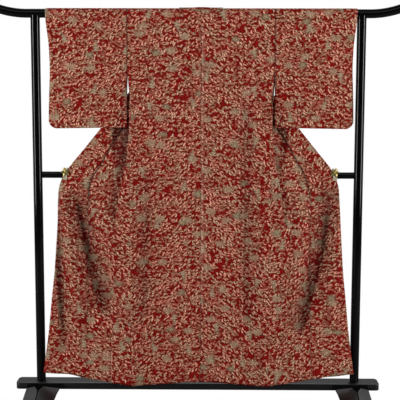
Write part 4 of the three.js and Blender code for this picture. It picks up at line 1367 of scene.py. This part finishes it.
def leaf(side, sign):
    """The clip's ornament: a gilt leaf of five points, its veins raised."""
    centre_x = KIMONO_X + sign * (CLIP_X[side] - 2)
    back_y, centre_z = CLIP_FRONT - CLIP_THICK / 2 - 0.3, RAIL_HEIGHT + LEAF_LIFT

    def spot(turn, share):
        past = (turn * 5 + 0.5) % 1 - 0.5  # from the nearest point's own line, in fifths of a turn
        off = abs(past) * 2
        tooth = 0.9 * math.sin(off * math.tau * 2) ** 2 * off * (1 - off) * 4
        radius = (LEAF_WAIST + (LEAF_RADIUS - LEAF_WAIST) * (1 - off) ** 1.5 + tooth) * share
        sideways = radius * math.sin(past * math.tau / 5)
        vein = 1.5 * math.exp(-((sideways / 1.2) ** 2)) * (1.05 - share)
        ribs = 0.35 * math.sin(radius * 1.15 + 5 * off) * off * share
        height = 2.0 + 0.9 * (1 - share**2) + vein + ribs - 0.9 * off * share - 0.9 * share**6
        a = math.tau * turn + math.radians(LEAF_TILT)
        x, z = centre_x + sign * radius * math.sin(a), centre_z + radius * math.cos(a)
        return x, back_y - max(height, 0.5), z

    top = (centre_x, back_y - 3.6, centre_z)
    points = [top]
    for share in LEAF_RINGS:
        points += [spot(k / LEAF_SPOKES, share) for k in range(LEAF_SPOKES)]
    last = 1 + (len(LEAF_RINGS) - 1) * LEAF_SPOKES
    points += [(x, back_y, z) for x, _, z in points[last:]]
    faces = []

    def ring_faces(first):
        for k in range(LEAF_SPOKES):
            a, b = first + k, first + (k + 1) % LEAF_SPOKES
            faces.append((a, a + LEAF_SPOKES, b + LEAF_SPOKES, b))

    for k in range(LEAF_SPOKES):
        faces.append((0, 1 + k, 1 + (k + 1) % LEAF_SPOKES))
    for ring in range(len(LEAF_RINGS)):
        ring_faces(1 + ring * LEAF_SPOKES)
    rim = last + LEAF_SPOKES
    faces.append(tuple(rim + k for k in range(LEAF_SPOKES - 1, -1, -1)))
    if sign > 0:
        faces = [face[::-1] for face in faces]
    return solid(f"clip_leaf_{side}", points, faces, "gilt", sharp=60)


# ---- The scene ---------------------------------------------------------------------------------


def ride(piece, slot, *nodes):
    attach(piece, "root")
    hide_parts(*nodes)


for side, sign in SIGN.items():
    ride(back_panel(side), "cloth", f"back_{side}")
    ride(front_panel(side), "cloth", f"front_{side}")
    ride(overlap(side), "cloth", f"overlap_{side}")
    ride(sleeve(side), "cloth", f"sleeve_{side}")
    ride(post(side, sign), "lacquer", f"post_{side}")
    ride(foot(side, sign), "lacquer", f"foot_{side}")
    ride(clip(side, sign), "gilt", f"clip_{side}")
    ride(leaf(side, sign), "gilt", f"leaf_{side}")
ride(collar(), "cloth", "collar")
ride(top_bar(), "lacquer", "top_bar")
ride(rail(), "lacquer", "rail")
ride(beam(), "lacquer", "beam")


def floor():
    size = 9
    mesh = bpy.data.meshes.new("floor")
    corners = [(-size, -size, 0), (size, -size, 0), (size, size, 0), (-size, size, 0)]
    mesh.from_pydata(corners, [], [(0, 1, 2, 3)])
    mesh.materials.append(MATERIALS["floor"])
    linked("floor", mesh)


def softbox(name, spot, aim, size, power):
    data = bpy.data.lights.new(name, "AREA")
    data.shape, data.size, data.size_y = "RECTANGLE", size[0], size[1]
    data.energy = power
    lamp = linked(name, data)
    lamp.location = spot
    lamp.rotation_euler = (Vector(aim) - Vector(spot)).to_track_quat("-Z", "Y").to_euler()


WORLD_FRONT, WORLD_BEHIND = 0.05, 0.34  # a dark room before the stand, and a pale wall behind it


def world():
    """A white surround for the camera, and a duller one, dark on the camera's side, for light."""
    made = bpy.data.worlds.new("studio")
    bpy.context.scene.world = made
    n = Nodes(made)
    way = n.add("ShaderNodeTexCoord").outputs["Generated"]
    depth = n.add("ShaderNodeSeparateXYZ", [way]).outputs["Y"]
    strength = n.ramp(depth, -0.3, 0.8, WORLD_FRONT, WORLD_BEHIND)
    light = n.add("ShaderNodeBackground", {"Strength": strength}).outputs[0]
    backdrop = n.add("ShaderNodeBackground", {"Color": (1, 1, 1, 1), "Strength": 1.0}).outputs[0]
    seen = n.add("ShaderNodeLightPath").outputs["Is Camera Ray"]
    pick = n.add("ShaderNodeMixShader", [seen, light, backdrop]).outputs[0]
    n.add("ShaderNodeOutputWorld", [pick])


def camera():
    """The viewpoint: level with the waist's height, a little right of the middle, looking down."""
    data = bpy.data.cameras.new("camera")
    data.sensor_width, data.lens = 36, 86.4
    pitch, yaw, roll = math.radians(6.77), math.radians(-0.53), math.radians(0.13)
    forward = Vector((math.sin(yaw) * math.cos(pitch), math.cos(yaw) * math.cos(pitch), -math.sin(pitch)))
    level = Vector((math.cos(yaw), -math.sin(yaw), 0))
    upright = level.cross(forward)
    right = level * math.cos(roll) + upright * math.sin(roll)
    up = upright * math.cos(roll) - level * math.sin(roll)
    turn = Matrix((right, up, -forward)).transposed().to_4x4()
    eye = linked("camera", data)
    eye.matrix_world = Matrix.Translation((0.047, -4.086, 1.378)) @ turn
    bpy.context.scene.camera = eye


camera()
world()
floor()
softbox("left", (-3.5, -1.9, 1.7), (0, 0, 0.95), (0.5, 2.6), 118)
softbox("right", (3.6, -1.8, 1.7), (0, 0, 0.95), (0.5, 2.6), 122)
softbox("front", (0, -4.0, 4.4), (0, 0, 0.8), (4.4, 2.2), 34)
softbox("above", (0, 2.6, 3.7), (0, 0, 0.5), (5.0, 2.0), 84)
bpy.context.scene.view_settings.view_transform = "Standard"
